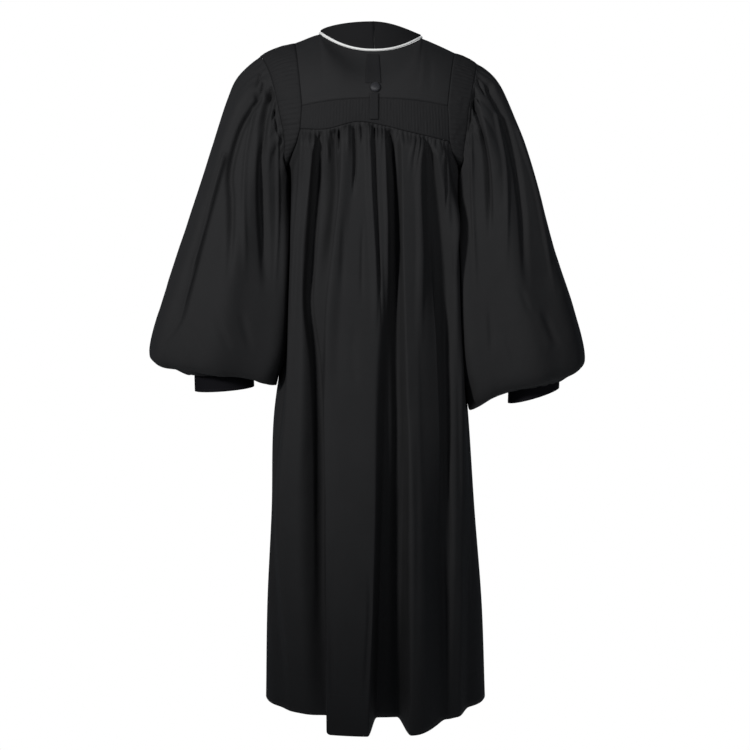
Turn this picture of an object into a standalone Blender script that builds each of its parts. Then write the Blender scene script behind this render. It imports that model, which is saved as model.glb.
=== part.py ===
"""A clergy robe in its worn form with no wearer: a smooth back yoke over a fluted band, a gathered back,
two fronts under a fly, full gathered sleeves with cuffs, a neckband, white piping, and a strap, a tab and
a covered button at the centre back.

Metres. +X is the wearer's right, +Y the wearer's front and +Z up, and the origin lies between the points
where the neck seam crosses the shoulders. Heights are given as drops below it. Side -1 is the wearer's
left, and face -1 is the back of the body.
"""
from collections import namedtuple

import bpy
import numpy as np

# Driving sizes
HEM_DROP = 1.362            # shoulder at the neck to hem
CLOTH = 0.0016              # wall of every cloth piece
SEAM = 0.0006               # gap between two pieces at a seam
SIDES = {-1: "left", 1: "right"}
BACK, FRONT = -1, 1

# Looks, by colour and roughness
BLACK_CLOTH = ((0.018, 0.018, 0.020), 0.62)
WHITE_CORD = ((0.86, 0.86, 0.85), 0.50)
BUTTON_CLOTH = ((0.030, 0.030, 0.033), 0.38)
SHARP_ANGLE = 50            # degrees, past which an edge is shaded sharp

# Shoulder line, by distance from the middle
ShoulderPoint = namedtuple("ShoulderPoint", "reach drop")
SHOULDER = {
    -1: [ShoulderPoint(0.090, 0.000), ShoulderPoint(0.110, 0.002), ShoulderPoint(0.150, 0.016),
         ShoulderPoint(0.199, 0.034), ShoulderPoint(0.240, 0.050)],
    1: [ShoulderPoint(0.070, 0.003), ShoulderPoint(0.093, 0.010), ShoulderPoint(0.125, 0.023),
        ShoulderPoint(0.162, 0.040), ShoulderPoint(0.205, 0.060)],
}

# Neckline: its middle at the back and the front, how square it is, and how steeply the cloth leaves it
NeckMiddle = namedtuple("NeckMiddle", "x deep drop squareness slope")
NECK = {BACK: NeckMiddle(-0.002, 0.070, 0.040, 2.2, 62), FRONT: NeckMiddle(0.0, 0.098, 0.088, 2.6, 66)}
NECK_REACH = {-1: 0.110, 1: 0.093}
SHOULDER_SLOPE = 10         # degrees, how steeply the cloth leaves the shoulder line

# Yoke
YOKE_REACH_TOP = 0.158      # half width at the shoulder line
YOKE_REACH_LOW = 0.139      # half width at the fluted band
YOKE_DROP_MID = 0.132       # lower edge at the centre back
YOKE_DROP_END = 0.146       # lower edge at the armholes
YOKE_NECK_COLUMNS = 9
YOKE_SHOULDER_COLUMNS = 4
YOKE_ROWS = 8
DRAPE_HANDLE = 0.42         # how far a curve from the shoulder keeps its direction at each end, by its length
DRAPE_ACROSS = 0.33
DRAPE_OUT = 0.10            # how far the cloth still leans out where that curve ends

# Fluted band under the yoke
BAND_FLUTES = 48
FLUTE_HIGH = 0.0016
BAND_TRIM = 0.012           # share of the band left free at its two seams
BandEdge = namedtuple("BandEdge", "x drop")
BAND_LOW = [BandEdge(-0.143, 0.189), BandEdge(-0.096, 0.190), BandEdge(-0.030, 0.176), BandEdge(0.020, 0.184),
            BandEdge(0.060, 0.194), BandEdge(0.105, 0.204), BandEdge(0.143, 0.213)]

# Armhole: the yoke ends at the first share of the way down, the band at the second, and the rest curves
# out to the side seam
YOKE_END, BAND_END = 0.42, 0.58
ARMPIT_DROP = 0.288
ArmholeEdge = namedtuple("ArmholeEdge", "share reach")
ARMHOLE_LOW = [ArmholeEdge(0.0, 0.0), ArmholeEdge(0.30, 0.16), ArmholeEdge(0.60, 0.50),
               ArmholeEdge(0.80, 0.80), ArmholeEdge(0.92, 0.94), ArmholeEdge(1.0, 1.0)]

# The body's cross-section at each drop, without its folds
BodySection = namedtuple("BodySection", "drop half_wide half_deep shift squareness")
BODY = [
    BodySection(0.120, 0.205, 0.131, -0.002, 2.9),
    BodySection(0.210, 0.196, 0.134, -0.002, 2.8),
    BodySection(0.288, 0.174, 0.134, -0.003, 2.5),
    BodySection(0.420, 0.174, 0.130, -0.003, 2.3),
    BodySection(0.520, 0.177, 0.127, -0.004, 2.2),
    BodySection(0.620, 0.183, 0.125, -0.005, 2.1),
    BodySection(0.760, 0.199, 0.124, -0.008, 2.0),
    BodySection(0.960, 0.210, 0.124, -0.004, 2.0),
    BodySection(1.160, 0.224, 0.125, -0.001, 2.0),
    BodySection(1.362, 0.231, 0.126, 0.001, 2.0),
]

# Main folds at five drops. left and right are the edges of a fold's crest, rise and fall are how wide its
# flanks to the left and right of that are, and high is its height
FOLD_DROPS = (0.20, 0.42, 0.66, 0.95, 1.362)
FOLD_UNION = 3.0            # how sharply two neighbouring folds stay apart
FOLD_RISE = 0.032           # below a seam the main folds reach their full height in this length
FOLD_SIDEWAYS = 0.3         # how much folds beside a side seam stand out sideways as well
SIDE_HOLD = 0.08            # share of the body beside a side seam in which folds fade
HEM_SAG = 0.07              # how much lower the hem hangs per height of fold
Fold = namedtuple("Fold", "left right rise fall high")
BACK_FOLDS = [
    Fold(left=(-0.150, -0.156, -0.164, -0.178, -0.168), right=(-0.113, -0.136, -0.140, -0.150, -0.140),
         rise=(0.014, 0.014, 0.016, 0.020, 0.030), fall=(0.016, 0.022, 0.040, 0.055, 0.050),
         high=(0.018, 0.034, 0.046, 0.046, 0.008)),
    Fold(left=(-0.055, -0.074, -0.0925, -0.0925, -0.0890), right=(0.015, 0.0135, 0.0005, -0.0015, -0.014),
         rise=(0.014, 0.018, 0.012, 0.010, 0.010), fall=(0.020, 0.027, 0.034, 0.020, 0.018),
         high=(0.016, 0.028, 0.040, 0.053, 0.084)),
    Fold(left=(0.051, 0.053, 0.060, 0.070, 0.068), right=(0.087, 0.0805, 0.078, 0.082, 0.074),
         rise=(0.012, 0.010, 0.015, 0.024, 0.024), fall=(0.014, 0.028, 0.046, 0.056, 0.105),
         high=(0.017, 0.029, 0.041, 0.055, 0.084)),
    Fold(left=(0.1115, 0.149, 0.156, 0.160, 0.150), right=(0.129, 0.154, 0.161, 0.168, 0.165),
         rise=(0.010, 0.030, 0.032, 0.034, 0.030), fall=(0.012, 0.012, 0.014, 0.020, 0.030),
         high=(0.013, 0.035, 0.035, 0.026, 0.030)),
    Fold(left=(-0.090, -0.110, -0.120, -0.125, -0.125), right=(0.090, 0.116, 0.122, 0.125, 0.125),
         rise=(0.030, 0.030, 0.035, 0.040, 0.040), fall=(0.030, 0.030, 0.035, 0.040, 0.040),
         high=(0.000, 0.010, 0.016, 0.012, 0.000)),
]
FRONT_FOLDS = {
    -1: [
        Fold(left=(0.058, 0.058, 0.059, 0.062, 0.066), right=(0.058, 0.058, 0.059, 0.062, 0.066),
             rise=(0.036, 0.037, 0.038, 0.040, 0.042), fall=(0.040, 0.041, 0.042, 0.044, 0.046),
             high=(0.000, 0.009, 0.019, 0.030, 0.044)),
        Fold(left=(0.112, 0.115, 0.120, 0.128, 0.138), right=(0.112, 0.115, 0.120, 0.128, 0.138),
             rise=(0.030, 0.032, 0.034, 0.036, 0.040), fall=(0.030, 0.033, 0.038, 0.046, 0.050),
             high=(0.000, 0.009, 0.017, 0.026, 0.036)),
        Fold(left=(0.150, 0.155, 0.166, 0.182, 0.192), right=(0.150, 0.155, 0.166, 0.182, 0.192),
             rise=(0.022, 0.024, 0.025, 0.027, 0.030), fall=(0.020, 0.021, 0.022, 0.024, 0.026),
             high=(0.000, 0.005, 0.009, 0.012, 0.014)),
    ],
    1: [
        Fold(left=(0.058, 0.058, 0.059, 0.060, 0.062), right=(0.058, 0.058, 0.059, 0.060, 0.062),
             rise=(0.036, 0.036, 0.037, 0.037, 0.038), fall=(0.040, 0.041, 0.042, 0.043, 0.044),
             high=(0.000, 0.008, 0.018, 0.032, 0.046)),
        Fold(left=(0.104, 0.107, 0.112, 0.120, 0.130), right=(0.104, 0.107, 0.112, 0.120, 0.130),
             rise=(0.030, 0.032, 0.034, 0.036, 0.040), fall=(0.030, 0.032, 0.035, 0.038, 0.042),
             high=(0.000, 0.009, 0.018, 0.028, 0.038)),
        Fold(left=(0.148, 0.153, 0.163, 0.178, 0.190), right=(0.148, 0.153, 0.163, 0.178, 0.190),
             rise=(0.022, 0.023, 0.024, 0.026, 0.028), fall=(0.020, 0.021, 0.022, 0.024, 0.026),
             high=(0.000, 0.005, 0.009, 0.012, 0.014)),
    ],
}

# Gathers, the small folds that hang from a seam
BAND_GATHERS = 26
GATHER_HIGH = 0.0034
GATHER_AT_SEAM = 0.3        # share of a gather's height that it already has in the seam
GATHER_RISE = 0.015
GATHER_LONG = 0.055

# Rows and columns of the back and the fronts, with the rows as shares of the way down
ARMHOLE_COLUMNS = 12
BACK_DOWNS = (0, 0.016, 0.042, 0.082, 0.14, 0.21, 0.30, 0.40, 0.52, 0.66, 0.82, 1.0)
BACK_EVENED = 2.2           # how soon its columns are evenly spread, as a rate over the way down
FRONT_EVENED = 2.0
FRONT_COLUMNS = 19
FRONT_UPPER = (0, 0.16, 0.34, 0.55, 0.78)
FRONT_ARM_ROWS = 8
FRONT_LOWER = (0, 0.10, 0.21, 0.32, 0.45, 0.62, 0.81, 1.0)
FRONT_CHEST_DROP = 0.176    # lower end of the fronts' upper part, at the centre
FRONT_PULL = 0.6            # how far its columns follow the neckline and not the chest
FRONT_HOLD = 0.16           # share of a front beside the armhole in which folds fade

# Fly over the centre front
FLY_HALF_WIDE = 0.017
FLY_COLUMNS = 5
FLY_LIFT = 0.0012
FLY_TRIM = 0.08             # share of its first row left free below the neck seam

# A sleeve's rings. Each is an ellipse from its outer point to its inner one, as deep as half_deep to each
# side of mid_y, and hang is how much further down its inner end sags
SleeveRing = namedtuple("SleeveRing", "outer_reach outer_drop inner_reach inner_drop half_deep mid_y hang")
SLEEVE = {
    -1: [
        SleeveRing(0.226, 0.044, 0.184, 0.298, 0.098, 0.000, 0.000),
        SleeveRing(0.270, 0.084, 0.182, 0.322, 0.094, -0.004, 0.000),
        SleeveRing(0.292, 0.129, 0.176, 0.350, 0.090, -0.010, 0.000),
        SleeveRing(0.318, 0.207, 0.170, 0.382, 0.086, -0.018, 0.000),
        SleeveRing(0.344, 0.286, 0.168, 0.420, 0.084, -0.024, 0.000),
        SleeveRing(0.372, 0.366, 0.168, 0.466, 0.086, -0.026, 0.000),
        SleeveRing(0.400, 0.446, 0.170, 0.520, 0.090, -0.026, 0.000),
        SleeveRing(0.428, 0.527, 0.174, 0.578, 0.096, -0.024, 0.002),
        SleeveRing(0.449, 0.592, 0.182, 0.630, 0.100, -0.020, 0.007),
        SleeveRing(0.456, 0.630, 0.196, 0.664, 0.098, -0.016, 0.013),
        SleeveRing(0.449, 0.647, 0.203, 0.678, 0.088, -0.012, 0.019),
        SleeveRing(0.414, 0.660, 0.216, 0.674, 0.070, -0.010, 0.014),
        SleeveRing(0.380, 0.675, 0.234, 0.670, 0.056, -0.010, 0.004),
        SleeveRing(0.372, 0.668, 0.241, 0.668, 0.0505, -0.010, 0.000),
    ],
    1: [
        SleeveRing(0.200, 0.059, 0.184, 0.300, 0.098, 0.000, 0.000),
        SleeveRing(0.238, 0.092, 0.182, 0.326, 0.094, -0.004, 0.000),
        SleeveRing(0.262, 0.132, 0.174, 0.354, 0.088, -0.010, 0.000),
        SleeveRing(0.293, 0.207, 0.168, 0.388, 0.082, -0.018, 0.000),
        SleeveRing(0.319, 0.286, 0.165, 0.428, 0.080, -0.024, 0.000),
        SleeveRing(0.342, 0.366, 0.164, 0.476, 0.082, -0.026, 0.000),
        SleeveRing(0.366, 0.446, 0.166, 0.532, 0.086, -0.026, 0.000),
        SleeveRing(0.395, 0.527, 0.170, 0.590, 0.092, -0.024, 0.004),
        SleeveRing(0.417, 0.598, 0.176, 0.646, 0.098, -0.020, 0.012),
        SleeveRing(0.425, 0.638, 0.186, 0.688, 0.098, -0.016, 0.026),
        SleeveRing(0.422, 0.658, 0.192, 0.708, 0.090, -0.012, 0.040),
        SleeveRing(0.406, 0.671, 0.214, 0.710, 0.074, -0.010, 0.034),
        SleeveRing(0.384, 0.684, 0.262, 0.706, 0.056, -0.010, 0.002),
        SleeveRing(0.380, 0.678, 0.267, 0.700, 0.0505, -0.010, 0.000),
    ],
}
SLEEVE_PLACES = (0, 0.25, 0.6, 1.1, 1.9, 3.0, 4.3, 5.7, 7.1, 8.3, 9.3, 10.1, 11.0, 12, 13)
SLEEVE_EASED = 3.0          # the ring by which a sleeve has let go of the form of its head
HANG_NARROW = 7.0           # how narrow the sagging inner end is
SLEEVE_CLEAR = 0.0022       # between a sleeve and the body panels
UNDERARM_EASE = (0.010, 0.040)  # that clearance comes in from above the armpit, and over this length

# Sleeve folds, by angle round the sleeve: 0 at the outside, 90 at the back, 180 inside and 270 at the front
SleeveFold = namedtuple("SleeveFold", "turn_top turn_low wide high_top high_low")
SLEEVE_FOLDS = {
    -1: [SleeveFold(50, 36, 12, 0.009, 0.006), SleeveFold(93, 96, 14, 0.010, 0.004),
         SleeveFold(143, 140, 13, 0.008, 0.004), SleeveFold(250, 240, 16, 0.008, 0.004),
         SleeveFold(290, 296, 15, 0.009, 0.004), SleeveFold(332, 330, 13, 0.008, 0.004)],
    1: [SleeveFold(30, 40, 12, 0.006, 0.004), SleeveFold(83, 84, 14, 0.010, 0.005),
        SleeveFold(139, 140, 13, 0.008, 0.004), SleeveFold(246, 240, 16, 0.008, 0.004),
        SleeveFold(286, 294, 15, 0.009, 0.004), SleeveFold(326, 332, 13, 0.008, 0.004)],
}
SLEEVE_FOLDS_RISE = 1.1     # the ring by which they have their full height
SLEEVE_FOLDS_FADE = (9.0, 2.5)  # the ring at which they start to fade, and in how many rings

# How far the fluted sleeve head reaches out from the armhole, by share of the way from shoulder to armpit
HeadReach = namedtuple("HeadReach", "share wide outward forward down")
HEAD = {
    -1: [HeadReach(0.00, 0.072, 0.93, 0.00, 0.345), HeadReach(0.22, 0.060, 0.90, 0.32, 0.26),
         HeadReach(0.45, 0.046, 0.90, 0.40, 0.14), HeadReach(0.62, 0.032, 0.90, 0.42, 0.10),
         HeadReach(0.80, 0.016, 0.86, 0.30, 0.36), HeadReach(1.00, 0.010, 0.66, 0.00, 0.75)],
    1: [HeadReach(0.00, 0.044, 0.92, 0.00, 0.44), HeadReach(0.22, 0.048, 0.90, 0.32, 0.26),
        HeadReach(0.45, 0.042, 0.90, 0.40, 0.14), HeadReach(0.62, 0.028, 0.90, 0.42, 0.10),
        HeadReach(0.80, 0.015, 0.86, 0.30, 0.36), HeadReach(1.00, 0.010, 0.66, 0.00, 0.75)],
}
SLEEVE_FLUTES = 40
ARMHOLE_GAP = 0.0017        # between the armhole and a sleeve's head
HEAD_SEAM = 0.0012          # between a sleeve's head and the rest of it
HEAD_PUFF = {-1: 0.0036, 1: 0.0012}
UNDERARM_PLAIN = 0.8        # how wide the stretch at the underarm is that has no gathers or flutes

# Cuffs, in the line of the sleeve's last ring
CUFF_POINTS = 24
CUFF_TOP_LIFT = 0.014       # above the sleeve's last table ring
CUFF_DROP = {-1: (0.711, 0.702), 1: (0.704, 0.736)}   # lower edge at the outside and the inside
CUFF_REACH = {-1: (0.367, 0.246), 1: (0.375, 0.271)}  # outer and inner point
CUFF_HALF_DEEP = 0.045
CUFF_MID_Y = -0.010
CUFF_GATHER = 0.0016        # height of the gathers above the cuff
CUFF_GATHER_LONG = 0.030
CUFF_GATHER_RISE = 0.012

# Neckband and piping
PIPING_RADIUS = 0.0021
PIPING_GAP = 0.0006
PIPING_OPEN = 0.004         # from the centre front to each end of the piping
PIPING_SIDES = 6
NECK_POINTS = 13            # along half of the back neck seam
FRONT_NECK_POINTS = 11
NECK_LEAN, NECK_RISE = 0.45, 0.90         # how cloth stands in the neck seam: towards the neck, and up
NECKBAND_TOP = (-0.006, -0.042, 0.0190)   # highest point of the neckband, at the centre back
NECKBAND_FALL = {-1: 1.5, 1: 2.7}         # how fast each half falls away to the shoulder
NECKBAND_LEAST = 0.0024
SEAM_END = 0.9999           # stops a neck seam just short of the shoulder line

# Strap, tab and button on the centre back
STRAP_X = -0.0035
STRAP_HALF_TOP = 0.0115
STRAP_HALF_LOW = 0.0150
STRAP_DROPS = (0.0475, 0.104)
STRAP_LIFT = 0.0006
STRAP_ROWS = 8
STRAP_COLUMNS = 5
TAB_X = -0.0015
TAB_HALF_WIDE = 0.008
TAB_DROPS = (0.1235, 0.172)
BUTTON_X = 0.0005
BUTTON_DROP = 0.1125
BUTTON_RADIUS = 0.0095
BUTTON_HIGH = 0.0058
BUTTON_SIDES = 16
ButtonRing = namedtuple("ButtonRing", "radius high")
BUTTON = [ButtonRing(0.55, 0.0), ButtonRing(0.80, 0.06), ButtonRing(1.0, 0.30), ButtonRing(0.97, 0.50),
          ButtonRing(0.82, 0.76), ButtonRing(0.60, 0.92), ButtonRing(0.36, 1.0)]

# Points inside each form, which its cloth faces away from
INSIDE_SHOULDERS = (0, 0, -0.16)
INSIDE_FRONT = (0, 0, -0.5)
INSIDE_BACK = (0, 0, -0.7)
INSIDE_NECK = (0, 0, -0.01)


def clear_scene():
    for obj in list(bpy.data.objects):
        bpy.data.objects.remove(obj, do_unlink=True)


# Curves and grids


def through(xs, ys, at):
    """A smooth curve through the points xs, ys, read at each value of at."""
    xs, ys = np.asarray(xs, float), np.asarray(ys, float)
    at = np.clip(np.asarray(at, float), xs[0], xs[-1])
    slopes = np.gradient(ys, xs)
    k = np.clip(np.searchsorted(xs, at) - 1, 0, len(xs) - 2)
    span = xs[k + 1] - xs[k]
    s = (at - xs[k]) / span
    start = (1 + 2 * s) * (1 - s) ** 2 * ys[k] + s * (1 - s) ** 2 * span * slopes[k]
    end = s ** 2 * (3 - 2 * s) * ys[k + 1] + s ** 2 * (s - 1) * span * slopes[k + 1]
    return start + end


def column_of(table, key, name, at):
    """One named column of a table, read smoothly along its key column."""
    return through([getattr(row, key) for row in table], [getattr(row, name) for row in table], at)


def ease(s):
    s = np.clip(s, 0.0, 1.0)
    return s * s * (3 - 2 * s)


def bezier(p0, p1, p2, p3, s):
    s = np.asarray(s, float)[..., None]
    return (1 - s) ** 3 * p0 + 3 * s * (1 - s) ** 2 * p1 + 3 * s * s * (1 - s) * p2 + s ** 3 * p3


def unit(v):
    return v / np.maximum(np.linalg.norm(v, axis=-1, keepdims=True), 1e-12)


def shares_along(line):
    """How far along a line of points each one lies, in metres."""
    return np.concatenate([[0], np.cumsum(np.linalg.norm(np.diff(line, axis=0), axis=-1))])


def outward_normals(grid, inside, ring=False):
    """Unit normals of a grid of points [row, column], facing away from inside. A ring's columns join."""
    down = np.gradient(grid, axis=0)
    if ring:
        across = np.roll(grid, -1, axis=1) - np.roll(grid, 1, axis=1)
    else:
        across = np.gradient(grid, axis=1)
    normals = unit(np.cross(across, down))
    return normals if np.sum((grid - np.asarray(inside)) * normals) > 0 else -normals


# Solids


def principled(name, look):
    colour, roughness = look
    material = bpy.data.materials.new(name)
    material.use_nodes = True
    shader = material.node_tree.nodes["Principled BSDF"]
    shader.inputs["Base Color"].default_value = (*colour, 1.0)
    shader.inputs["Roughness"].default_value = roughness
    shader.inputs["Metallic"].default_value = 0.0
    return material


def solid_object(name, points, faces, look):
    """A closed body from its triangles, turned to face out, with its origin in its middle."""
    middle = points.mean(axis=0)
    if np.linalg.det(points[np.asarray(faces)]).sum() < 0:
        faces = [face[::-1] for face in faces]
    mesh = bpy.data.meshes.new(name)
    mesh.from_pydata([tuple(p) for p in points - middle], [], faces)
    mesh.update()
    mesh.materials.append(principled(f"{name}_look", look))
    mesh.shade_smooth()
    mesh.set_sharp_from_angle(angle=np.radians(SHARP_ANGLE))
    obj = bpy.data.objects.new(name, mesh)
    obj.location = middle
    bpy.context.scene.collection.objects.link(obj)


def wall(name, outer, inner, look, ring=False):
    """A closed wall between two grids of points [row, column], split into triangles alike on both."""
    rows, cols = outer.shape[:2]
    spans = cols if ring else cols - 1

    def at(row, col, layer):
        return (layer * rows + row) * cols + col % cols

    quads = []
    for col in range(spans):
        for row in range(rows - 1):
            quads.append([at(row, col, 0), at(row, col + 1, 0),
                          at(row + 1, col + 1, 0), at(row + 1, col, 0)])
            quads.append([at(row + 1, col + 1, 1), at(row, col + 1, 1),
                          at(row, col, 1), at(row + 1, col, 1)])
        quads.append([at(0, col + 1, 0), at(0, col, 0), at(0, col, 1), at(0, col + 1, 1)])
        quads.append([at(rows - 1, col, 0), at(rows - 1, col + 1, 0),
                      at(rows - 1, col + 1, 1), at(rows - 1, col, 1)])
    if not ring:
        last = cols - 1
        for row in range(rows - 1):
            quads.append([at(row, 0, 0), at(row + 1, 0, 0), at(row + 1, 0, 1), at(row, 0, 1)])
            quads.append([at(row + 1, last, 0), at(row, last, 0), at(row, last, 1), at(row + 1, last, 1)])
    faces = [face for a, b, c, d in quads for face in ([a, b, c], [a, c, d])]
    solid_object(name, np.concatenate([outer.reshape(-1, 3), inner.reshape(-1, 3)]), faces, look)


def cloth_wall(name, outer, inside, ring=False, base=None, face=0):
    """Black cloth of even thickness under the points of outer, or under those of base where the outside is
    ribbed. A face keeps the cloth behind or before the side seams."""
    plain = outer if base is None else base
    inner = plain - CLOTH * outward_normals(plain, inside, ring)
    if face:
        inner[..., 1] = face * np.maximum(face * inner[..., 1], SEAM / 2)
    wall(name, outer, inner, BLACK_CLOTH, ring)


def capped_tube(name, rings, look):
    """A solid from rings of points [ring, round], with flat ends."""
    count, around = rings.shape[:2]
    faces = []
    for i in range(count - 1):
        for j in range(around):
            k = (j + 1) % around
            a, b, c, d = i * around + j, i * around + k, (i + 1) * around + k, (i + 1) * around + j
            faces += [[a, b, c], [a, c, d]]
    last = (count - 1) * around
    for j in range(1, around - 1):
        faces += [[0, j + 1, j], [last, last + j, last + j + 1]]
    solid_object(name, rings.reshape(-1, 3), faces, look)


# Body form


def section(drop):
    return [column_of(BODY, "drop", name, drop) for name in BodySection._fields[1:]]


def body_point(cross, drop, face):
    """A point of the plain body form. cross runs from -1 at the left side seam to 1 at the right one."""
    wide, deep, shift, square = section(drop)
    depth = np.maximum(deep * (1 - np.clip(np.abs(cross), 0, 1) ** square) ** (1 / square), SEAM / 2)
    return np.stack(np.broadcast_arrays(shift + wide * cross, face * depth, -drop), axis=-1)


def point_at(x, drop, face):
    """The point of the plain body form that lies x from the middle."""
    wide, _, shift, _ = section(drop)
    return body_point((x - shift) / wide, drop, face)


def fold_height(folds, x, drop):
    """How far the main folds lift the cloth at x and drop."""
    total = np.zeros(np.broadcast(x, drop).shape)
    for fold in folds:
        left, right, rise, fall, high = (through(FOLD_DROPS, levels, drop) for levels in fold)
        away = np.clip(np.maximum((left - x) / rise, (x - right) / fall), 0, 1)
        total += (np.maximum(high, 0) * (1 + np.cos(np.pi * away)) / 2) ** FOLD_UNION
    return total ** (1 / FOLD_UNION)


def push_out(points, cross, drop, face, lift):
    """Moves points of the body form out, mostly to the back or front, and by nothing at the side seams."""
    wide, deep, _, _ = section(drop)
    sideways = FOLD_SIDEWAYS * np.asarray(cross) / wide
    out = unit(np.stack(np.broadcast_arrays(sideways, face / deep, np.zeros_like(drop)), axis=-1))
    return points + out * (lift * ease((1 - np.abs(cross)) / SIDE_HOLD))[..., None]


def folded_body(cross, drop, face, side=None, rise=1.0):
    """The body form with its main folds, which rise says how much of."""
    points = body_point(cross, drop, face)
    if face == BACK:
        lift = fold_height(BACK_FOLDS, points[..., 0], drop)
    else:
        lift = fold_height(FRONT_FOLDS[side], np.abs(points[..., 0]), drop)
    return push_out(points, cross, drop, face, lift * rise)


def even_cross(count, drop, face, side=None):
    """Places across the body that part the folded cloth into even lengths, from its left seam or centre."""
    fine = np.sin(np.linspace(-np.pi / 2 if face == BACK else 0, np.pi / 2, 500))
    cross = fine if face == BACK else side * fine
    along = shares_along(folded_body(cross, np.full(fine.shape, drop), face, side))
    return np.interp(np.linspace(0, along[-1], count), along, cross)


def body_reach(side, y, drop):
    """How far the folded body reaches out to one side at each y and drop."""
    levels = np.linspace(ARMPIT_DROP, 0.80, 40)
    depths = np.linspace(-0.16, 0.16, 65)
    cross = side * np.sin(np.linspace(np.pi / 2, 0.3, 90))
    table = np.zeros((len(levels), len(depths)))
    for i, level in enumerate(levels):
        for face in (BACK, FRONT):
            edge = folded_body(cross, np.full(cross.shape, level), face, side)
            passed = np.maximum.accumulate(np.abs(edge[:, 1])) + np.arange(len(cross)) * 1e-9
            here = depths * face >= 0
            table[i, here] = np.interp(np.abs(depths[here]), passed, side * edge[:, 0])
    i = np.clip((drop - levels[0]) / (levels[1] - levels[0]), 0, len(levels) - 1.001)
    j = np.clip((y - depths[0]) / (depths[1] - depths[0]), 0, len(depths) - 1.001)
    i0, j0 = i.astype(int), j.astype(int)
    s, t = i - i0, j - j0
    return ((1 - s) * (1 - t) * table[i0, j0] + s * (1 - t) * table[i0 + 1, j0]
            + (1 - s) * t * table[i0, j0 + 1] + s * t * table[i0 + 1, j0 + 1])


# Neckline, shoulder line and the cloth that falls from them


def shoulder_drop(side, reach):
    return column_of(SHOULDER[side], "reach", "drop", reach)


def neck_share(side):
    """The share of a panel's upper edge that is neckline."""
    return NECK_REACH[side] / YOKE_REACH_TOP


def upper_edge(side, share, face):
    """The upper edge of half a panel: the neckline, then the shoulder line."""
    neck = NECK[face]
    middle_x = neck.x if face == BACK else side * SEAM / 2
    turn = np.clip(share / neck_share(side), 0, 1) * np.pi / 2
    side_drop = shoulder_drop(side, NECK_REACH[side])
    x = middle_x + (side * NECK_REACH[side] - middle_x) * np.sin(turn)
    drop = neck.drop + (side_drop - neck.drop) * np.sin(turn) ** neck.squareness
    neckline = np.stack([x, face * neck.deep * np.cos(turn), -drop], axis=-1)
    reach = np.maximum(share, neck_share(side)) * YOKE_REACH_TOP
    shoulder = np.stack([side * reach, np.zeros_like(reach), -shoulder_drop(side, reach)], axis=-1)
    edge = np.where((share < neck_share(side))[:, None], neckline, shoulder)
    edge[:, 1] = face * np.maximum(face * edge[:, 1], SEAM / 2)
    return edge


def fall(side, shares, face, low, downs):
    """Points [down, across] of cloth that falls from half of an upper edge to the points of low."""
    top = upper_edge(side, shares, face)
    steep = NECK[face].slope
    slope = np.radians(steep + (SHOULDER_SLOPE - steep) * ease(shares / neck_share(side)))
    leave = np.stack([0 * slope, face * np.cos(slope), -np.sin(slope)], axis=-1)
    arrive = unit(np.array([0.0, face * DRAPE_OUT, -1.0]))
    handle = DRAPE_HANDLE * np.linalg.norm(low - top, axis=-1, keepdims=True)
    across = (low - top) * np.array([DRAPE_ACROSS, 0, 0])
    return bezier(top, top + leave * handle + across, low - arrive * handle - across, low,
                  np.asarray(downs)[:, None])


# Yoke and fluted band


def yoke_grid(side, shares, downs):
    """Points of one half of the yoke, [down, across], from the neckline to the shoulder blades."""
    drop = YOKE_DROP_MID + (YOKE_DROP_END - YOKE_DROP_MID) * shares ** 2
    return fall(side, shares, BACK, point_at(side * YOKE_REACH_LOW * shares, drop, BACK), downs)


def make_yoke():
    downs = np.linspace(0, 1, YOKE_ROWS)
    halves = []
    for side in SIDES:
        on_neck = np.linspace(0, neck_share(side), YOKE_NECK_COLUMNS)
        on_shoulder = np.linspace(neck_share(side), 1, YOKE_SHOULDER_COLUMNS)[1:]
        halves.append(yoke_grid(side, np.concatenate([on_neck, on_shoulder]), downs))
    grid = np.concatenate([halves[0][:, ::-1], halves[1][:, 1:]], axis=1)
    cloth_wall("back_yoke", grid, INSIDE_SHOULDERS, face=BACK)


def band_low_drop(x):
    return column_of(BAND_LOW, "x", "drop", x)


def band_line(share, down):
    """A point of the plain band under the yoke. share runs from -1 to 1 across and down from 0 to 1."""
    top_drop = YOKE_DROP_MID + (YOKE_DROP_END - YOKE_DROP_MID) * share ** 2
    x = share * (YOKE_REACH_LOW + (BAND_LOW[-1].x - YOKE_REACH_LOW) * down)
    return point_at(x, top_drop + (band_low_drop(x) - top_drop) * down, BACK)


def make_back_fluting():
    columns = BAND_FLUTES * 2 + 1
    base = np.stack([band_line(np.linspace(-1, 1, columns), down) for down in (BAND_TRIM, 1 - BAND_TRIM)])
    crest = np.where(np.arange(columns) % 2 == 1, FLUTE_HIGH, 0.0)
    outer = base + crest[None, :, None] * outward_normals(base, INSIDE_SHOULDERS)
    cloth_wall("back_fluting", outer, INSIDE_SHOULDERS, base=base)


# Armhole


def armhole_low(side, share):
    """The armhole below the fluted band, on the body form."""
    corner = BAND_LOW[-1].x
    corner_drop = band_low_drop(side * corner)
    drop = corner_drop + (ARMPIT_DROP - corner_drop) * share
    wide, _, shift, _ = section(drop)
    start = (side * corner - shift) / wide * side
    cross = start + (1 - start) * column_of(ARMHOLE_LOW, "share", "reach", share)
    return body_point(side * np.clip(cross, 0, 1), drop, BACK)


def armhole_back(side, share):
    """The back half of the armhole, from the shoulder at 0 to the armpit at 1."""
    on_yoke = yoke_grid(side, np.array([1.0]), np.clip(share / YOKE_END, 0, 1))[:, 0]
    on_band = band_line(np.full(share.shape, float(side)),
                        np.clip((share - YOKE_END) / (BAND_END - YOKE_END), 0, 1))
    low = armhole_low(side, np.clip((share - BAND_END) / (1 - BAND_END), 0, 1))
    upper = np.where((share < YOKE_END)[:, None], on_yoke, on_band)
    return np.where((share > BAND_END)[:, None], low, upper)


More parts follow.
